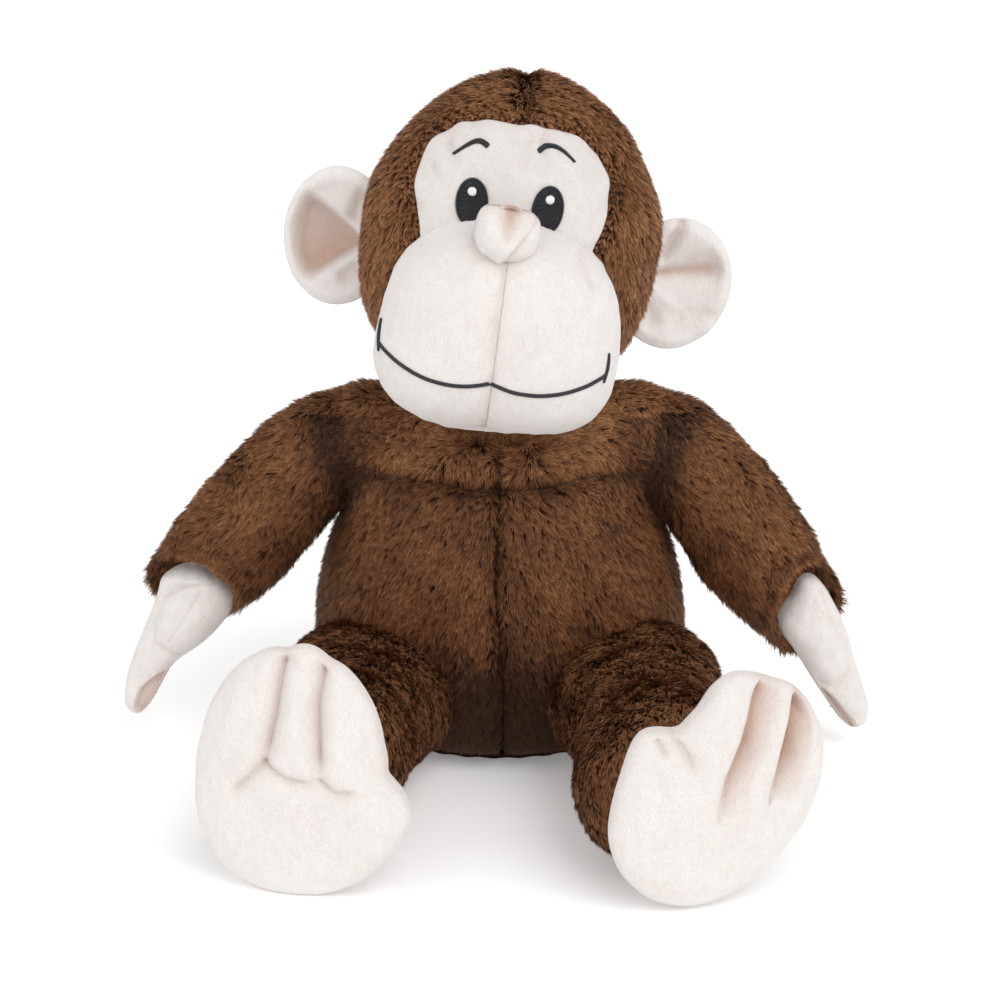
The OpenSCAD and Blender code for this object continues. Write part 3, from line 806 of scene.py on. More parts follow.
def locate(surface, x, z, start):
    """The places on the disc where one of the head's surfaces has these x and z, found step by step."""
    d = np.array(start, float)
    step = 1e-3
    for _ in range(14):
        miss = surface(d)[..., [0, 2]] - np.stack([x, z], -1)
        a = (surface(d + [step, 0]) - surface(d - [step, 0]))[..., [0, 2]] / (2 * step)
        b = (surface(d + [0, step]) - surface(d - [0, step]))[..., [0, 2]] / (2 * step)
        det = a[..., 0] * b[..., 1] - a[..., 1] * b[..., 0]
        s = (miss[..., 0] * b[..., 1] - miss[..., 1] * b[..., 0]) / det
        t = (a[..., 0] * miss[..., 1] - a[..., 1] * miss[..., 0]) / det
        d = d - np.clip(np.stack([s, t], -1), -0.15, 0.15)
    return d


def on_mask(x, z):
    d = locate(mask_at, x, z, np.stack([x / 46, z / 58], -1))
    return mask_at(d)[..., :3], surface_normals(mask_at, d, np.zeros(3))


def on_muzzle(x, z):
    start = np.stack([x / 85, (z - MUZZLE_C[2]) / 75], -1)
    d = locate(muzzle_at, x, z, start)
    return muzzle_at(d)[..., :3], surface_normals(muzzle_at, d, MUZZLE_C)


def ply(name, surface, place, inside, body, nodes, counts, s_range=(-1, 1), t_range=(-1, 1),
        thick=VELBOA, grow=1.0, cloth=CREAM):
    """A shaped piece of short-pile cloth over part of a disc."""
    found = surface(disc(*square_grid(counts, s_range, t_range)) * grow)
    points, quads = shell(found[..., :3], thick, inside)
    made = mesh_of(name, place.out(points), quads, material=cloth, flat=rim_length(counts))
    mesh_turned_out(made)
    # fold: how much warm painted shade each point of the cloth takes
    add_attribute(made, "fold", np.tile(found[..., 3].ravel(), 2))
    return settle(made, body, nodes)


def mesh_turned_out(made):
    """A mirrored place turns faces inwards; this turns them back."""
    mesh = made.data
    points = np.zeros(len(mesh.vertices) * 3, np.float32)
    mesh.vertices.foreach_get("co", points)
    points = points.reshape(-1, 3).astype(float)
    corners = np.zeros(len(mesh.loops), np.int32)
    mesh.loops.foreach_get("vertex_index", corners)
    quads = corners[:4 * (len(corners) // 4)].reshape(-1, 4)
    a, b, c, d = points[quads].transpose(1, 0, 2)
    volume = (a * np.cross(b, c)).sum() + (a * np.cross(c, d)).sum()
    if volume < 0:
        mesh.flip_normals()


def head_skin():
    polar = np.linspace(0, math.pi, 76)
    around = np.linspace(0, 2 * math.pi, 132, endpoint=False)
    a, off = np.meshgrid(around, polar)
    under_mask = ease(1.0, 0.93, off / face_edge(a)) * 4.5
    grid = head_at(off, a, PILE_DEPTH + under_mask)
    behind = ease(1.0, 1.6, off)
    grid[..., 0] = grid[..., 0] * (1 - 0.03 * behind) + 3.6 * behind
    dent = 1.6 * bump(grid[..., 0], 2.6) * ease(20, 50, grid[..., 2])
    grid -= unit(grid) * dent[..., None]
    grid += unit(grid) * (0.7 * ripple(grid, 40, 51))[..., None]
    return closed_tube(grid)


def opening_gap(p):
    """Millimetres outside the face opening."""
    off, around = off_axis(HEAD.back(p))
    return (off - face_edge(around)) * 60


def head_nap(p):
    """Down the head all round, parted from front to back along the crown."""
    q = HEAD.back(p)
    x, z = q[..., 0], q[..., 2]
    crown = ease(25, 62, z)
    part = np.tanh(x / 5) * (0.25 + 1.1 * crown * bump(x, 26))
    back = np.where(q[..., 1] > 0, 0.2, -0.35) * crown
    inward = -q * [1, 0, 1] / 55 * (1.1 * ease(7, 0, opening_gap(p)))[..., None]
    return HEAD.turn(np.stack([part, back, np.full_like(x, -1.0)], -1) + inward)


def make_head_fur():
    points, quads, triangles = head_skin()
    skin = (HEAD.out(points), quads, triangles)
    backing("head_cloth", skin, "head", ["head_filling", "muzzle_filling"])

    def in_muzzle(p):
        q = HEAD.back(p) - MUZZLE_C
        return ((q / (MUZZLE_R - 3)) ** 2).sum(-1) < 1

    def keep(p):
        return (opening_gap(p) > -1.2) & ~in_muzzle(p)

    def length(p):
        return 0.42 + 0.58 * ease(-1, 14, opening_gap(p)) - 0.25 * parting(p)

    def parting(p):
        q = HEAD.back(p)
        return bump(q[:, 0] - 2, 2.4) * ease(38, 50, q[:, 2]) * (q[:, 1] < 14)

    # Painted shade beside the face opening's lower sides and along the crown's parting; the head's fur is
    # lighter all over, with painted light more towards its top
    def shade(p):
        q = HEAD.back(p)
        by_edge = -0.10 * bump(opening_gap(p), 5) * ease(48, 30, q[:, 2])
        return by_edge - 0.42 * parting(p) + 0.28 + 0.08 * ease(20, 60, q[:, 2])

    def capped(p):
        off, _ = off_axis(HEAD.back(p))
        return np.degrees(off) > CROWN_CAP

    panels = {
        "head_fur_left": lambda p: ~capped(p) & (HEAD.back(p)[:, 0] >= 0),
        "head_fur_right": lambda p: ~capped(p) & (HEAD.back(p)[:, 0] < 0),
        "head_fur_back": capped,
    }
    fur("head", skin, panels, head_nap, 200, keep=keep, length=length, shade=shade, rise=0.8)


def make_face():
    ply("face_mask_cloth", mask_at, HEAD, np.zeros(3), "head", ["face_mask"],
        (150, 150), thick=1.2, grow=1.05, cloth=SHADED_CREAM)
    gap = 0.0004
    for side, sign in SIDES.items():
        span = (gap, 1.0) if sign > 0 else (-1.0, -gap)
        ply(f"muzzle_{side}_cloth", muzzle_at, HEAD, MUZZLE_C, "head", [f"muzzle_{side}"],
            (110, 150), span, (CHIN_SHARE + gap, 1.0), grow=MUZZLE_GROW)
    ply("chin_cloth", muzzle_at, HEAD, MUZZLE_C, "head", ["chin"],
        (190, 70), t_range=(-1, CHIN_SHARE - gap), grow=MUZZLE_GROW)


NOSE_COUNTS = (80, 80)
NOSE_TILT = math.radians(16)
# The nose's rim about its middle: x across, z up
NOSE_OUTLINE = [
    (13.6, 0), (13, 7), (9.5, 10), (5.1, 11.3), (0, 12), (-4.6, 11.8), (-9.6, 11.4), (-12.2, 8.7),
    (-13.3, 3.9), (-13.4, -2.3), (-11.2, -7.1), (-7.3, -9.9), (-2.4, -12), (3.3, -11.5), (8.6, -9.8),
    (12.4, -6.2),
]
# The nose's sharp fold, from its lowest point up to its right corner
NOSE_FOLD = [(-2.4, -12), (-0.7, -8), (1.5, -3.6), (5.9, 3.9), (10.3, 9.2)]


def nose_at(d):
    """A little cushion, folded so that a deep wedge runs down its middle from the top."""
    share = np.linalg.norm(d, axis=-1)
    angle = np.arctan2(d[..., 1], d[..., 0])
    reach = outline_reach(NOSE_OUTLINE, angle)
    x, z = 0.965 * reach * share * np.cos(angle), 0.965 * reach * share * np.sin(angle)
    depth = 12.5 * np.sqrt(np.clip(1 - share ** 2.8, 0, 1))
    inner = ease(1.0, 0.82, share)
    gap, way = to_segments(x, z, [(0.8, 12), (-0.4, 0)])
    wedge = (1 - way) ** 0.8
    hollow = 7.0 * bump(gap, mix(6.5, 2.2, way)) * wedge * ease(1.02, 0.9, share)
    fold_x, fold_z = np.array(NOSE_FOLD).T
    past = x - np.interp(z, fold_z, fold_x)
    ridge = 1.1 * bump(past + 0.4, 1.7)
    drop = 2.4 * ease(-0.3, 1.1, past) * np.exp(-np.clip(past, 0, None) / 4.5)
    lobe = 1.3 * bump(np.hypot(x + 8.5, z + 0.5), 5.5)
    # Painted warm shade in the wedge, beside the sharp fold and round the rim
    tint = 0.9 * bump(gap, mix(4.2, 1.2, way)) * wedge
    tint = tint + 0.22 * bump(past - 1.2, 1.2) * ease(-12, 6, z) + 0.14 * ease(0.86, 1.0, share)
    y = hollow + (drop - ridge) * inner - depth - lobe
    return np.stack([x, y, z, np.clip(tint, 0, 1)], -1)


def make_nose():
    """The nose leans back along the muzzle's top, from the mask down to the middle seam."""
    centre = HEAD.back(middle("nose"))
    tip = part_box("nose")[0][1] / MM - HEAD.origin[1]
    forward = np.array([0, math.cos(NOSE_TILT), math.sin(NOSE_TILT)])
    place = Place(
        HEAD.out(np.array([centre[0] - 1.0, tip + 13.0, centre[2] - 2.0])),
        HEAD.turn(np.array([1.0, 0, 0])), HEAD.turn(forward),
        HEAD.turn(np.array([0, -math.sin(NOSE_TILT), math.cos(NOSE_TILT)])),
    )
    s, t = square_grid(NOSE_COUNTS)
    front = nose_at(disc(s, t))
    back = front.copy()
    back[..., 1] = 6.5 * np.sqrt(np.clip(1 - (s * s + t * t - s * s * t * t), 0, 1)) + 0.3
    points, quads = two_faced(front[..., :3], back[..., :3])
    made = mesh_of("nose_cloth", place.out(points), quads, material=CREAM, flat=rim_length(NOSE_COUNTS))
    # fold: the nose's painted shade
    add_attribute(made, "fold", np.tile(front[..., 3].ravel(), 2))
    settle(made, "head", ["nose"])


# ---- Embroidery ----

RING = 6


def stitches(starts, ends, normals, width, height):
    """Points, quads and triangles of raised stitches: short rounded bars that dip in at both ends."""
    count = len(starts)
    width = np.broadcast_to(width, count)[:, None, None]
    height = np.broadcast_to(height, count)[:, None, None]
    along = unit(ends - starts)
    side = unit(np.cross(along, normals))
    shares = np.array([0.12, 0.5, 0.88])
    sizes = np.array([0.72, 1.0, 0.72])
    a = np.linspace(0, 2 * math.pi, RING, endpoint=False)
    points = np.zeros((count, 2 + 3 * RING, 3))
    points[:, 0] = starts - normals * height[:, 0] * 0.4
    points[:, -1] = ends - normals * height[:, 0] * 0.4
    for ring, (share, size) in enumerate(zip(shares, sizes)):
        centre = mix(starts, ends, share)[:, None] + normals[:, None] * height * (size - 0.72)
        circle = side[:, None] * np.cos(a)[:, None] * width / 2
        circle = circle + normals[:, None] * np.sin(a)[:, None] * height
        points[:, 1 + ring * RING:1 + (ring + 1) * RING] = centre + circle * size
    step = np.arange(RING)
    after = (step + 1) % RING
    fans = np.concatenate([
        np.stack([np.zeros(RING, int), 1 + after, 1 + step], -1),
        np.stack([np.full(RING, 1 + 3 * RING), 1 + 2 * RING + step, 1 + 2 * RING + after], -1),
    ])
    bands = np.concatenate([
        np.stack([first + step, first + after, first + RING + after, first + RING + step], -1)
        for first in (1, 1 + RING)
    ])
    shift = np.arange(count)[:, None, None] * (2 + 3 * RING)
    quads = (shift + bands).reshape(-1, 4)
    triangles = (shift + fans).reshape(-1, 3)
    return points.reshape(-1, 3), *outward(points.reshape(-1, 3), quads, triangles)


def joined(parts):
    """Several meshes as one list of points, quads and triangles."""
    points, quads, triangles, shift = [], [], [], 0
    for p, q, t in parts:
        points.append(p)
        quads.append(q + shift)
        triangles.append(t + shift)
        shift += len(p)
    return np.concatenate(points), np.concatenate(quads), np.concatenate(triangles)


def sewn(name, parts, material, nodes):
    points, quads, triangles = joined(parts)
    made = mesh_of(name, HEAD.out(points), quads, triangles, material)
    return settle(made, "head", nodes)


def crossing(surface, x, z, across_x, across_z, width, height, lift=0.25):
    """Satin stitches across a line: one at each point, from one side of it to the other."""
    a, normal_a = surface(x - across_x / 2, z - across_z / 2)
    b, normal_b = surface(x + across_x / 2, z + across_z / 2)
    normals = unit(normal_a + normal_b)
    return stitches(a + normals * lift, b + normals * lift, normals, width, height)


EYE = {"left": np.array([14.6, 20.6]), "right": np.array([-16.0, 19.8])}
EYE_HALF = np.array([6.7, 9.5])
EYE_BORDER = 1.35  # width of the satin-stitched rim


def pad(surface, centre, half, rise, count=28):
    """A low domed patch on the face, an oval that stitches lie over."""
    d = disc(*square_grid((count, count)))
    at, normals = surface(centre[0] + half[0] * d[..., 0], centre[1] + half[1] * d[..., 1])
    share = np.linalg.norm(d, axis=-1, keepdims=True)
    grid = at + normals * rise * np.sqrt(np.clip(1.04 - share ** 4, 0, 1))
    points, quads = shell(grid, rise + 0.4, np.zeros(3))
    return points, quads, NO_TRIANGLES


def make_eyes():
    for side, sign in SIDES.items():
        centre = EYE[side]
        a = np.linspace(0, 2 * math.pi, 124, endpoint=False)
        ring = np.stack([np.cos(a), np.sin(a)], -1)
        outer = centre + ring * EYE_HALF
        inner = centre + ring * (EYE_HALF - EYE_BORDER)
        rim = crossing(on_mask, *((outer + inner) / 2).T, *(outer - inner).T, 0.46, 0.42, 0.75)
        rows = []
        random = np.random.default_rng(70 + sign)
        core = EYE_HALF - EYE_BORDER - 0.15
        for column, x in enumerate(np.arange(-core[0] + 0.2, core[0], 0.42)):
            reach = core[1] * math.sqrt(max(0.0, 1 - (x / core[0]) ** 2))
            z = -reach + (column % 3) * 0.55
            while z < reach:
                end = min(z + 1.6, reach)
                if end - z > 0.6:
                    rows.append((x, z, x + random.normal() * 0.05, end))
                z += 1.7
        rows = np.array(rows)
        starts, normals = on_mask(centre[0] + rows[:, 0], centre[1] + rows[:, 1])
        ends, _ = on_mask(centre[0] + rows[:, 2], centre[1] + rows[:, 3])
        lift = normals * random.uniform(0.7, 1.0, len(rows))[:, None]
        body = stitches(starts + lift, ends + lift, normals, 0.46, 0.36)
        under = pad(on_mask, centre, EYE_HALF - 0.25, 0.7)
        sewn(f"eye_{side}_thread", [under, rim, body], BLACK, [f"eye_{side}"])
        make_glint(side, centre + [0.2 * sign, 4.1])


def make_glint(side, centre):
    """White stitches over the eye, side by side in an oval."""
    half = np.array([1.75, 1.85])
    x = np.arange(-half[0] + 0.15, half[0], 0.34)
    reach = half[1] * np.sqrt(1 - (x / half[0]) ** 2) + 0.2
    starts, normals = on_mask(centre[0] + x, centre[1] - reach)
    ends, _ = on_mask(centre[0] + x, centre[1] + reach)
    lift = normals * 1.15
    rows = stitches(starts + lift, ends + lift, normals, 0.44, 0.4)
    under = pad(on_mask, centre, half, 1.15, 12)
    sewn(f"eye_glint_{side}_thread", [under, rows], WHITE, [f"eye_glint_{side}"])


BROWS = {
    "left": [(7.4, 41.4), (9.8, 44.2), (13.6, 45.2), (19, 43), (24.2, 38.8)],
    "right": [(-11.6, 41.0), (-13.8, 43.0), (-17, 43.2), (-21.5, 40.3), (-26.5, 35.6)],
}


def make_brows():
    """Each brow is one line of satin stitches, thick at its inner end and fine at its outer end."""
    for side, sign in SIDES.items():
        share = np.linspace(0, 1, 52)
        line = np.array(BROWS[side], float)
        steps = np.concatenate([[0], np.cumsum(np.linalg.norm(np.diff(line, axis=0), axis=1))])

        def read(shift):
            where = share * 0.94 + 0.03 + shift
            return np.array([np.interp(where, steps / steps[-1], values) for values in line.T])

        at = rounded(read, (-0.12, -0.05, 0, 0.05, 0.12))
        slope_x, slope_z = np.gradient(at[0]), np.gradient(at[1])
        run = np.hypot(slope_x, slope_z)
        thick = mix(2.8, 0.9, share ** 0.8) * ease(-0.06, 0.05, share)
        rows = crossing(on_mask, *at, -slope_z / run * thick * sign, slope_x / run * thick * sign, 0.42, 0.5)
        sewn(f"brow_{side}_thread", [rows], BLACK, [f"brow_{side}"])


def mouth_z(x):
    return -46 - 0.3 * x + 0.0093 * x * x


def make_mouth():
    corner_x = 46.5
    for side, sign in SIDES.items():
        x = np.linspace(0.4, corner_x, 128)
        rows = slanted(x, mouth_z(x), sign, 1.75)
        up = np.linspace(0, 1, 26)
        tick_x = corner_x + 0.9 * np.sin(up * 2.4) - 0.6
        tick_z = mouth_z(corner_x) - 3.2 + 11.5 * up
        tick = slanted(tick_x, tick_z, sign, 1.1 * np.sqrt(np.sin(math.pi * mix(0.06, 0.97, up))) + 0.35)
        sewn(f"mouth_{side}_thread", [rows, tick], BLACK, [f"mouth_{side}"])


def slanted(x, z, sign, thick):
    """A line of slanted stitches, like a thin cord laid on the muzzle."""
    run_x, run_z = np.gradient(x), np.gradient(z)
    run = np.hypot(run_x, run_z)
    across_x = (-run_z + 0.7 * run_x) / run * thick
    across_z = (run_x + 0.7 * run_z) / run * thick
    return crossing(on_muzzle, sign * x, z, sign * across_x, across_z, 0.62, 0.5)


# ---- Ears ----

EAR_HALVES = {1: np.array([26.0, 28.8]), -1: np.array([24.0, 30.0])}
EAR_YAW = math.radians(14)
EAR_SHIFT = {"left": (4.2, 0.0, 1.0), "right": (0.5, 0.0, 3.0)}


def ear_shape(c, up, share, side):
    """An ear's thickness, bowl, painted shade and creases at places across it: c grows outwards from its
    middle.
    """
    if side < 0:
        upper = 1.7 + 0.66 * (c + 8) - up
        lower = up + 5.3 + 0.85 * (c + 8)
        gap = smooth_min(smooth_min(upper, lower, 3), (0.84 - share) * EAR_HALVES[side][0], 4)
        bowl = ease(-3.2, 5.0, gap)
        # Painted shade in the bowl, stronger towards its lower part
        painted_ear_shade = ease(-1.6, 3.6, gap) * (0.62 + 0.32 * ease(14, -12, up + 0.4 * c))
        creases = bump(to_segments(c, up, [(-9, 19), (-6, 9)])[0], 3.4)
        creases = creases + bump(to_segments(c, up, [(-9, -13), (-5, -17)])[0], 3.2)
        ridge = 0
    else:
        hollow_gap, way = to_segments(c, up, [(-6, 3), (15, 7)])
        bowl = 0.55 * bump(hollow_gap, mix(2.5, 7, way)) * ease(1.0, 0.75, share)
        # Painted shade along the hollow
        painted_ear_shade = 0.75 * bump(hollow_gap, mix(1.5, 3.6, way))
        creases = bump(to_segments(c, up, [(-1, 26), (-6, 12)])[0], 2.8)
        creases = creases + bump(to_segments(c, up, [(-10, -12), (-7, -16)])[0], 3.6)
        fold, _ = to_segments(c, up, [(6, -14), (15, -11.5), (20, -13.5)])
        creases = creases + 0.35 * bump(fold, 2.4)
        ridge = 0.7 * bump(to_segments(c, up, [(-12, -1), (7, -14)])[0], 2.4)
    thick = 1.4 + 4.4 * (1 - bowl) * ease(1.15, 0.75, share) + 0.8 * bump(share - 0.88, 0.09) + 1.1 * ridge
    # The painted shade of the bowl and the creases becomes the fold attribute
    return thick, bowl, np.clip(0.88 * painted_ear_shade + 0.32 * creases, 0, 1), creases


def ear_face(side, face):
    """The ear's front (face -1) or back (face 1) ply as a function of disc points."""

    def at(d):
        c = EAR_HALVES[side][0] * d[..., 0]
        up = EAR_HALVES[side][1] * d[..., 1]
        share = np.linalg.norm(d, axis=-1)
        thick, bowl, painted_ear_shade, creases = ear_shape(c, up, share, side)
        cup = 9.0 * (1 - share ** 2)
        edge = np.sqrt(np.clip(1 - share ** 5, 0, 1))
        if face < 0:
            depth = cup + 3.0 * bowl - thick * edge + 2.8 * creases * edge
        else:
            depth = cup + 2.0 * bowl + 0.65 * thick * edge
            # Painted shade towards the back ply's rim
            painted_ear_shade = 0.12 * (1 - edge)
        depth = depth + 0.35 * ripple(np.stack([side * c, 0 * c, up], -1), 14, 81 + side)
        return np.stack([side * c, depth, up, painted_ear_shade], -1)

    return at


def make_ears():
    for side, sign in SIDES.items():
        outward_x = np.array([math.cos(EAR_YAW), sign * math.sin(EAR_YAW), 0])
        backward = np.array([-sign * math.sin(EAR_YAW), math.cos(EAR_YAW), 0])
        place = Place(
            PIVOT[f"ear_{side}_flop"] - HEAD.turn(backward) * 3.0 + HEAD.turn(np.array(EAR_SHIFT[side])),
            HEAD.turn(outward_x), HEAD.turn(backward), HEAD_UP,
        )
        for part, face in (("front", -1), ("back", 1)):
            behind = np.array([0, -face * 40.0, 0])
            ply(f"ear_{side}_{part}_cloth", ear_face(sign, face), place, behind, f"ear_{side}",
                [f"ear_{side}_{part}"], (90, 100), thick=0.9)


# ---- Arms and legs ----

def limb_place(start, end):
    """A limb's own frame: z from its first pivot to its second, x level and square to it."""
    z = unit(end - start)
    x = unit(np.cross([0.0, 1.0, 0.0], z)) if abs(z[2]) > 0.5 else unit(np.cross([0.0, 0.0, 1.0], z))
    return Place(start, x, np.cross(z, x), z)


def limb_skin(place, length, r0, r1, shape, past=0, rows=72, columns=96):
    """A tube with round ends about the limb's two pivots, or past the second; shape scales its thickness."""
    turn = np.linspace(-math.pi / 2, 0, 12)
    first_z, first_r = r0 * np.sin(turn), r0 * np.cos(turn)
    z = np.linspace(0, length + past, rows)[1:-1]
    steps = np.concatenate([first_z, z, length + past - first_z[::-1] / r0 * r1])
    radii = np.concatenate([first_r, mix(r0, r1, np.minimum(z / length, 1)), first_r[::-1] / r0 * r1])
    a = np.linspace(0, 2 * math.pi, columns, endpoint=False)
    angles, along = np.meshgrid(a, steps)
    size = radii[:, None] * shape(angles, along)
    grid = np.stack([size * np.cos(angles), size * np.sin(angles), along], -1)
    grid[[0, -1], :, :2] = 0
    grid += unit(grid * [1, 1, 0]) * (0.7 * ripple(grid, 24, 90))[..., None]
    points, quads, triangles = closed_tube(grid)
    points = place.out(points)
    return points, *outward(points, quads, triangles)


ARM_R, CUFF_R = 24.0, 19.0
SLEEVE_PAST = 24  # how far a sleeve's tube runs past the wrist before its mouth is cut
HIP_R, ANKLE_R = 31.0, 28.0


# Shares of an arm's own thickness by the distance from its shoulder: outer side, inner side, front and back
ARM_OUTER = [
    (-20, 0.76), (-11, 0.82), (0, 1.06), (10, 1.24), (24, 1.34), (49, 1.40), (71, 1.32), (88, 1.14),
    (104, 1.0),
]
ARM_INNER = [
    (-20, 1.0), (0, 1.0), (20, 1.0), (44, 1.16), (50, 1.22), (56, 1.36), (68, 1.46), (88, 1.44), (104, 1.38),
]
ARM_FRONT = [(-20, 1.0), (0, 1.02), (45, 1.12), (88, 1.08), (104, 1.05)]
# Each sleeve's slanted mouth: how far past the wrist it is, and the way that it faces
MOUTH_PAST = {"left": 12.0, "right": 7.0}
MOUTH_FACING = {"left": (0.55, -0.79, -0.26), "right": (-0.36, -0.78, -0.50)}


def make_arm(side, sign):
    start, end = PIVOT[f"shoulder_{side}_swing"], PIVOT[f"wrist_{side}_bend"]
    place = limb_place(start, end)
    length = np.linalg.norm(end - start)
    facing = unit(np.array(MOUTH_FACING[side]))
    mouth = end + place.axes[2] * MOUTH_PAST[side]

    def past_mouth(p):
        return (p - mouth) @ facing

    def shape(angle, z):
        across = -sign * np.cos(angle)
        sides = np.where(across > 0, profile(ARM_OUTER, z, 2), profile(ARM_INNER, z, 2))
        return mix(profile(ARM_FRONT, z, 2), sides, across ** 2)

    cuff_r = CUFF_R - PILE_DEPTH + 0.5
    points, quads, triangles = limb_skin(place, length, ARM_R - PILE_DEPTH, cuff_r, shape, SLEEVE_PAST)
    beyond = np.clip(past_mouth(points), 0, None) / (place.axes[2] @ facing)
    points = points - beyond[:, None] * place.axes[2]
    # The mouth is hollow, so that the hand comes out of it
    off_line = np.linalg.norm(place.back(points)[:, :2], axis=1)
    sunk = 9.0 * ease(0.2, 6, beyond) * ease(20, 13, off_line)
    points = points - sunk[:, None] * place.axes[2]
    skin = points, quads, triangles
    backing(f"arm_{side}_cloth", skin, f"arm_{side}", [f"arm_{side}_filling"])

    def nap(p):
        q = place.back(p)
        curl = ripple(p, 28, 95)[:, None] * np.array([0.5, 0.5, 0])
        flare = place.turn(unit(q * [1, 1, 0])) * -0.15 * ease(-12, -2, past_mouth(p))[:, None]
        sag = np.array([0, 0, -0.25])
        return place.axes[2] + place.turn(curl) + flare + sag

    def keep(p):
        """The fur stops at the mouth, with a thin fringe on its rim."""
        on_rim = (past_mouth(p) < 0.4) & (np.linalg.norm(place.back(p)[:, :2], axis=1) > 17)
        return (past_mouth(p) < -0.3) | on_rim

    def is_outer(p):
        return -place.back(p)[:, 0] * sign > 0

    # Painted shade in two bands across the inner side, where its folds lie, and in the valley beside the
    # torso; the outer side is a little lighter
    def shade(p):
        along = place.back(p)[:, 2]
        folds = bump(along - 0.59 * length, 5) + bump(along - 0.3 * length, 6)
        valley = bump(np.clip(torso_distance(p), 0, None), 4.5)
        return -0.20 * folds * ~is_outer(p) + 0.07 * is_outer(p) - 0.62 * valley * (p[:, 2] < 152)

    panels = {f"arm_{side}_outer": is_outer, f"arm_{side}_inner": lambda p: ~is_outer(p)}
    fur(f"arm_{side}", skin, panels, nap, 300 + 40 * sign, shade=shade, keep=keep,
        length=lambda p: 1.0 + 0.15 * ease(-8, 0, past_mouth(p)),
        rise=lambda p: mix(0.95, 0.22, ease(-13, -3, past_mouth(p))))


def make_leg(side, sign):
    start, end = PIVOT[f"hip_{side}_swing"], PIVOT[f"ankle_{side}_tilt"]
    place = limb_place(start, end)
    length = np.linalg.norm(end - start)

    def shape(angle, z):
        """Broad over the thigh's outer side, and flatter on top."""
        outer = 0.5 + 0.5 * sign * np.cos(angle)
        corner = np.clip(np.cos(angle - math.pi / 2 + sign * math.radians(68)), 0, 1) ** 4
        thigh = bump(z - 0.15 * length, 38)
        creased = 0.05 * bump(z - 0.66 * length, 5) * (0.5 + 0.5 * np.sin(angle))
        full = 1 + thigh * (0.2 * outer ** 2 + 0.46 * corner - 0.05 * np.clip(np.sin(angle), 0, 1)) - creased
        if sign > 0:
            full = full + 0.62 * bump(z - length, 45) * np.clip(-np.cos(angle - math.radians(38)), 0, 1) ** 2
        return full + 0.12 * ease(length - 45, length - 12, z)

    skin = limb_skin(place, length, HIP_R - PILE_DEPTH, ANKLE_R - PILE_DEPTH, shape)
    backing(f"leg_{side}_cloth", skin, f"leg_{side}", [f"leg_{side}_filling"])

    def nap(p):
        swirl = ripple(p, 30, 97)[:, None] * np.array([0.4, 0, 0.4])
        return place.axes[2] * 0.8 + np.array([0, 0, -0.55]) + swirl

    def is_top(p):
        return place.back(p) @ place.back(place.origin + np.array([0, 0, 1.0])) > 0

    panels = {f"leg_{side}_top": is_top, f"leg_{side}_under": lambda p: ~is_top(p)}

    def shade(p):
        """Lighter all over and, as painted light, more on top, with soft bands of painted light and shade
        like those of cloth bent over the knee.
        """
        along = place.back(p)[:, 2]
        bands = np.sin(along / 2.1 + 2.2 * ripple(p, 22, 98))
        return 0.10 + (0.10 + 0.09 * bands) * ease(40, 60, p[:, 2])

    fur(f"leg_{side}", skin, panels, nap, 400 + 40 * sign, rise=0.75, keep=lambda p: p[:, 2] > 4,
        length=lambda p: 0.84 * mix(0.6, 1, ease(6, 16, p[:, 2])), shade=shade)


# ---- Hands ----

HAND_TURN = math.radians(12)
# A hand's inner and outer edges at heights below the wrist, growing outwards
HAND_ROWS = {
    "left": [
        (0, 3, 15), (-5, 4, 18.5), (-11, -2, 22), (-17, -5, 25.5), (-23, -3.5, 28), (-30, 3, 30.5),
        (-37, 7.5, 31.5), (-44, 11.5, 33.8), (-51, 16, 36), (-58, 20.5, 37.8), (-64, 24.5, 38), (-68, 27, 37),
    ],
    "right": [
        (0, -8, 14), (-4, -12, 18.5), (-10, -15.5, 20.3), (-17, -14, 23), (-23, -9.5, 25.2), (-30, -4, 28.2),
        (-37, 4, 30.8), (-43, 13.5, 33), (-50, 17.5, 34.8), (-57, 21, 35.8), (-63, 24.5, 35.5),
        (-66.5, 26, 35),
    ],
}
HAND_PAD = {
    "left": [(14, -4), (18, -16), (27, -30), (28, -42), (20, -48), (14, -46)],
    "right": [(-10, -3), (4, -6), (15, -13), (21, -23), (20.5, -33), (10, -39)],
}
HAND_SEAM = {"left": [(10, -8), (20, -22), (26, -34)], "right": [(-3, -7), (4, -18), (12.5, -31.5)]}
HAND_WEDGE = {
    "left": [(14, -46), (22, -54), (30, -64), (32, -68)],
    "right": [(14, -44), (22, -49), (27.5, -54), (30, -62), (29, -67)],
}


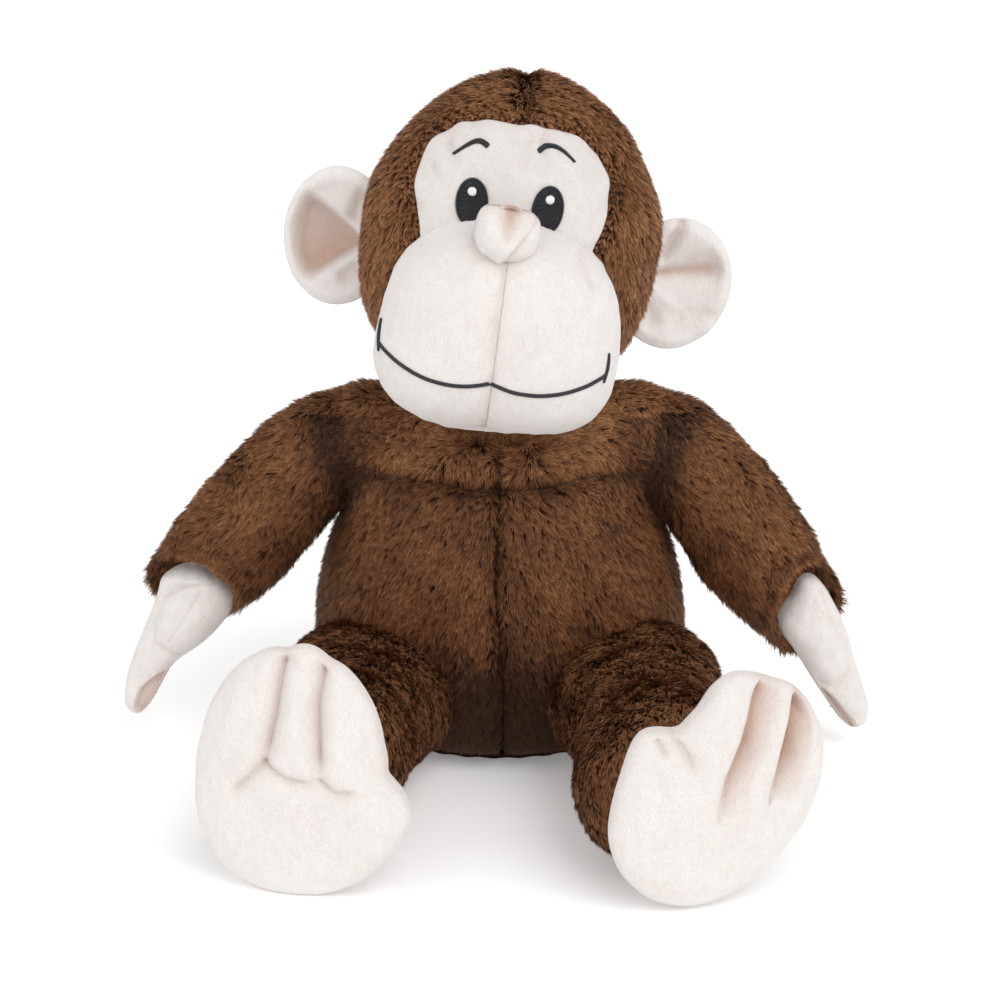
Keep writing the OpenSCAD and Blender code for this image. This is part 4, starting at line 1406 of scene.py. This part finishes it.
def hand_face(side, face):
    """A mitten's palm (face 1) or back (face -1): x outwards, y through and z up."""
    heights, inner, outer = np.array(HAND_ROWS[side][::-1], float).T
    shifts = (-3, -1, 1, 3)

    def at(d):
        along = (1 - d[..., 1]) / 2
        z = mix(heights[-1] + 3, heights[0] - 1, along)
        low = rounded(lambda shift: np.interp(z + shift, heights, inner), shifts)
        high = rounded(lambda shift: np.interp(z + shift, heights, outer), shifts)
        ends = np.minimum((heights[-1] + 3 - z) / 8, (z - heights[0] + 1) / 7)
        round_off = np.sqrt(np.clip(1 - (1 - np.clip(ends, 0, 1)) ** 2, 0, 1))
        across = d[..., 0] / np.sqrt(np.clip(1 - d[..., 1] ** 2, 1e-6, 1))
        x = (low + high) / 2 + (high - low) / 2 * round_off * np.clip(across, -1, 1)
        half = (high - low) / 2 * round_off
        rim = half * (1 - np.abs(np.clip(across, -1, 1)))
        dome = np.clip(1 - np.abs(across) ** 2.4, 0, 1) ** 0.55 * round_off ** 0.6
        thick = mix(12.0, 6.2, ease(0.35, 0.75, along))
        height = np.minimum(thick, 0.78 * half + 2) * dome
        pad_gap, _ = to_segments(x, z, HAND_PAD[side])
        seam_gap, _ = to_segments(x, z, HAND_SEAM[side])
        wedge_gap, wedge_way = to_segments(x, z, HAND_WEDGE[side])
        line_x, line_z = np.array(HAND_WEDGE[side], float)[::-1].T
        past = np.interp(z, line_z, line_x) - x
        wedge = ease(0.0, 1.6, past) * ease(line_z[-1] + 1, line_z[-1] - 5, z)
        fine = ease(0.2, 2.5, rim)
        if face < 0:
            cut = 0.9 * bump(pad_gap, 1.3) + 1.0 * bump(pad_gap, 4) + 0.35 * bump(seam_gap, 0.8)
            cut = (cut + 3.4 * wedge) * fine
            # Painted warm shade along the pad's and seam's lines and over the wedge
            fold = 0.10 * bump(pad_gap, 1.2) + 0.06 * bump(seam_gap, 1.0) + 0.5 * wedge
            fold = fold + 0.15 * bump(wedge_gap, 1.2) * (wedge_way < 1)
        else:
            cut = 0
            # The palm is a little darker with painted shade
            fold = 0.05
        # Painted shade along the rim
        fold = fold + 0.10 * bump(rim, 0.9)
        flat = np.stack([x, 0 * x, z], -1)
        wavy = 0.45 * ripple(flat, 15, 84 + face) + 0.15 * ripple(flat, 6, 86 + face)
        bend = 4.0 * ease(0.0, 0.25, along) - 9.0 * ease(0.25, 1.0, along)
        y = face * (height + wavy * fine - cut + 0.3) + bend - 3.0
        return np.stack([SIDES[side] * x, y, z, np.clip(fold, 0, 1)], -1)

    return at


def make_hand(side, sign):
    c, s = math.cos(HAND_TURN), sign * math.sin(HAND_TURN)
    place = Place(PIVOT[f"wrist_{side}_bend"], [c, s, 0], [-s, c, 0], [0, 0, 1])
    for part, face in (("palm", 1), ("back", -1)):
        behind = np.array([sign * 12, -face * 40.0, -35])
        nodes = [f"hand_{side}_{part}"] + ([f"hand_{side}_filling"] if face < 0 else [])
        ply(f"hand_{side}_{part}_cloth", hand_face(side, face), place, behind, f"hand_{side}", nodes,
            (90, 130), thick=0.9)


# ---- Feet ----

# Each foot about the middle of its sole: x towards the other foot, z up
FOOT_OUTLINE = {
    "left": [
        (33.7, 21.8), (31.1, 26), (27.8, 27.7), (19.4, 26.4), (14.8, 25.7), (6.1, 34.8), (2.5, 41.8),
        (-1.2, 45.6), (-6, 47.8), (-13.6, 46.7), (-19.6, 44.8), (-20.6, 42.9), (-24.7, 43.4), (-31.3, 39),
        (-37.9, 30.2), (-42.4, 15.7), (-41.6, 0), (-38.7, -9), (-29.1, -25.1), (-17.4, -36.7), (-1.2, -45.5),
        (7.6, -47.7), (16.4, -46.7), (25.3, -43.2), (37, -32), (42.3, -16.7), (41, -2.9), (38.1, 7.9),
        (35.6, 16.4),
    ],
    "right": [
        (-9.3, 52), (-22.8, 45), (-34.2, 31), (-40.4, 14.5), (-43.5, -4), (-43.5, -20.7), (-36.2, -38.3),
        (-21.7, -48.6), (-5.2, -51.2), (11.4, -48.6), (25.9, -40.4), (37.3, -26.9), (44, -13.5), (41.4, -5.2),
        (33.6, 1.6), (32.1, 16.6), (29.5, 27.9), (19.7, 43.5), (4.1, 53.5),
    ],
}
FOOT_MIDDLE = {"left": (-3.3, 5.0), "right": (0.5, 6.5)}
# Grooves between the toes, from the rim inwards, and how far a groove's outer side stays low
FOOT_GROOVES = {
    "left": (([(-15.6, 44.8), (-11.9, 37.9), (-7.1, 21.8), (-1.2, 8.7), (2.5, -8.8)], 9.0, 0.75),
             ([(-29.1, 36), (-25.8, 24.8), (-23.2, 14.1), (-18.1, -2.8)], 10.0, 1.35)),
    "right": (([(-5.2, 51), (-8.3, 27), (-12.9, 7)], 2.4, 0.9),
              ([(10.4, 47), (8.3, 33), (9.3, 3)], 2.4, 0.9)),
}
FOOT_CREASES = {
    "left": ([(19, 26), (13, 17), (12, 10)], [(25, 24), (22, 18)]),
    "right": (
        [(-12.9, 7), (-20.7, -1), (-29, -9.3)],
        [(-12.4, 7), (-4, 1.5), (4, 0.5), (9.3, 2.6)],
        [(9.3, 1.5), (15.5, -2.6), (26.9, -2)],
    ),
}
FOOT_RIM = 35.0  # the sole's seam in front of the ankle's pivot
FOOT_FLOOR = 44.0  # the floor below the ankle's pivot
WIDE_GROOVE = 5.0  # a groove wider than this has one steep side and one slow one


def groove_cut(x, z, line, wide, strength):
    """A groove with a steep side towards the big toe and a slow rise beyond: its depth and its painted shade.
    """
    points = np.array(line, float)
    gap, way = to_segments(x, z, line)
    order = np.argsort(points[:, 1])
    past = np.interp(z, points[order, 1], points[order, 0]) - x
    slow = np.exp(-(np.clip(past, 0, None) / wide) ** 1.6) * ease(-1.5, 1.2, past)
    near = ease(wide * 1.6, wide * 0.8, gap)
    level = (1 - 0.75 * ease(0.45, 1.0, way)) * ease(1.0, 0.9, way * (gap > 0.5))
    v_shape = np.clip(1 - gap / 8.5, 0, 1) ** 2 * (5.6 if wide < WIDE_GROOVE else 1.8) + bump(gap, 1.1)
    v_shape = v_shape * ease(1.06, 0.8, way)
    if wide < WIDE_GROOVE:
        return v_shape, 0 * x
    return 5.2 * strength * slow * near * level + v_shape, slow * near * level


def outline_reach(points, angle):
    """How far a closed outline is from its middle at each angle, rounded between its points."""
    points = np.array(points, float)
    angles = np.arctan2(points[:, 1], points[:, 0])
    reach = np.linalg.norm(points, axis=1)
    order = np.argsort(angles)
    angles, reach = angles[order], reach[order]
    shifts = np.radians([-5, -2, 0, 2, 5])
    return rounded(lambda shift: np.interp(angle + shift, angles, reach, period=2 * math.pi), shifts)


def foot_face(side, face):
    """A foot's sole (face -1) or upper (face 1): x towards the other foot, y backwards, z up."""
    outline = FOOT_OUTLINE[side]
    middle_x, middle_z = FOOT_MIDDLE[side]

    def at(d):
        share = np.linalg.norm(d, axis=-1)
        angle = np.arctan2(d[..., 1], d[..., 0])
        reach = outline_reach(outline, angle)
        spread = 1 - (1 - share) ** 1.5
        x = reach * spread * np.cos(angle)
        z = reach * spread * np.sin(angle)
        rim = reach * (1 - spread)
        puff = np.clip(1 - spread ** 3.4, 0, 1) ** 0.42
        groove, hollow, creased = 0, 0, 0
        for line, wide, strength in FOOT_GROOVES[side]:
            cut, low = groove_cut(x, z, line, wide, strength)
            groove, hollow = groove + cut, hollow + low
        if face < 0:
            for line in FOOT_CREASES[side]:
                gap, way = to_segments(x, z, line)
                cut = np.clip(1 - gap / 6.5, 0, 1) ** 2 * 2.2 + bump(gap, 1.0) * 0.7
                creased = creased + cut * ease(1.05, 0.6, way)
            dimple = 0.9 * bump(np.hypot(x - 5, z + 12), 7)
            bulge = 0 if side == "left" else 2.0 * bump(np.hypot(x - 30, z + 13), 12) - dimple
            depth = 11.5 * puff + 1.5 * ease(0.95, 0.2, spread) + bulge * ease(0, 10, rim)
            depth = depth - (groove + creased) * ease(-0.5, 6, rim)
            # Painted warm shade in the grooves and creases, along the rim and over the wide grooves' slow
            # sides
            fold = 0.05 * groove + 0.09 * creased + 0.10 * bump(rim, 1.2) + 0.58 * hollow * ease(0, 6, rim)
        else:
            depth = 24 * np.clip(1 - spread ** 2.2, 0, 1) ** 0.8
            # Painted shade along the upper's rim
            fold = 0.05 * bump(rim, 1.5)
        pulled = np.clip(groove, 0, 6) * bump(rim, 5) * 0.42 * (side == "right")
        x, z = x - pulled * np.cos(angle), z - pulled * np.sin(angle)
        flat = np.stack([x, 0 * x, z], -1)
        depth = depth + 0.5 * ripple(flat, 17, 86 + face) * ease(0, 8, rim)
        depth = depth + 0.10 * ripple(flat, 7, 88 + face)
        y = face * (depth + 0.05) - FOOT_RIM
        level = np.maximum(z + middle_z, 0.8 - FOOT_FLOOR)
        return np.stack([-SIDES[side] * (x + middle_x), y, level, np.clip(fold, 0, 1)], -1)

    return at


def make_foot(side):
    across = unit(AXIS[f"ankle_{side}_tilt"])
    across = across * np.sign(across[0])
    place = Place(PIVOT[f"ankle_{side}_tilt"], across, np.cross([0.0, 0.0, 1.0], across), [0.0, 0.0, 1.0])
    for part, face in (("sole", -1), ("upper", 1)):
        behind = np.array([0, -FOOT_RIM - face * 60.0, 4])
        nodes = [f"foot_{side}_{part}"] + ([f"foot_{side}_filling"] if face < 0 else [])
        ply(f"foot_{side}_{part}_cloth", foot_face(side, face), place, behind, f"foot_{side}", nodes,
            (190, 190) if face < 0 else (90, 90), thick=1.1)


# ---- Studio ----

CAMERA_TARGET = (0.0, 0.0, 0.1085)
CAMERA_ELEVATION = math.radians(17)
CAMERA_DISTANCE = 1.2
FLOOR_REACH = 60.0


def look_from(made, place, target):
    made.location = place
    made.rotation_mode = "QUATERNION"
    made.rotation_quaternion = (Vector(target) - Vector(place)).to_track_quat("-Z", "Y")


def make_camera():
    target = Vector(CAMERA_TARGET)
    camera = bpy.data.objects.new("camera", bpy.data.cameras.new("camera"))
    bpy.context.scene.collection.objects.link(camera)
    camera.data.lens = 98
    camera.data.sensor_width = 36
    back = Vector((0, -math.cos(CAMERA_ELEVATION), math.sin(CAMERA_ELEVATION)))
    look_from(camera, target + back * CAMERA_DISTANCE, target)
    bpy.context.scene.camera = camera


def make_light(name, place, spread, strength):
    """A broad distant light, which lights the floor evenly; spread is its angular size in degrees."""
    light = bpy.data.lights.new(name, "SUN")
    light.angle = math.radians(spread)
    light.energy = strength
    made = bpy.data.objects.new(name, light)
    bpy.context.scene.collection.objects.link(made)
    look_from(made, place, (0, 0, 0.12))


def make_studio():
    corners = np.array([[-1, -1, 0], [1, -1, 0], [1, 1, 0], [-1, 1, 0]]) * FLOOR_REACH / MM
    nodes = Nodes("pale_floor")
    grain = nodes.noise(40.0)
    colour = nodes.ramp(grain, [(0.3, (0.985, 0.985, 0.985)), (0.7, (1.0, 1.0, 1.0))])
    glow = {"Emission_Color": (1, 1, 1, 1), "Emission_Strength": 0.2}
    material = nodes.finish(colour, Roughness=0.9, **glow)
    floor = mesh_of("floor", corners, np.array([[0, 1, 2, 3]]), material=material)
    scene = bpy.context.scene
    scene.view_settings.view_transform = "Standard"
    world = bpy.data.worlds.new("studio")
    world.use_nodes = True
    world.node_tree.nodes["Background"].inputs["Color"].default_value = (1.0, 1.0, 1.0, 1)
    world.node_tree.nodes["Background"].inputs["Strength"].default_value = 0.72
    scene.world = world
    make_light("key", (0.8, -1.2, 1.5), 45, 1.38)
    make_light("fill", (-1.3, -0.9, 0.9), 60, 0.52)


make_camera()
make_studio()
make_torso()
make_seat()
make_neck()
make_head_fur()
make_face()
make_nose()
make_eyes()
make_brows()
make_mouth()
make_ears()
for side_name, side_sign in SIDES.items():
    make_arm(side_name, side_sign)
    make_hand(side_name, side_sign)
    make_leg(side_name, side_sign)
    make_foot(side_name)
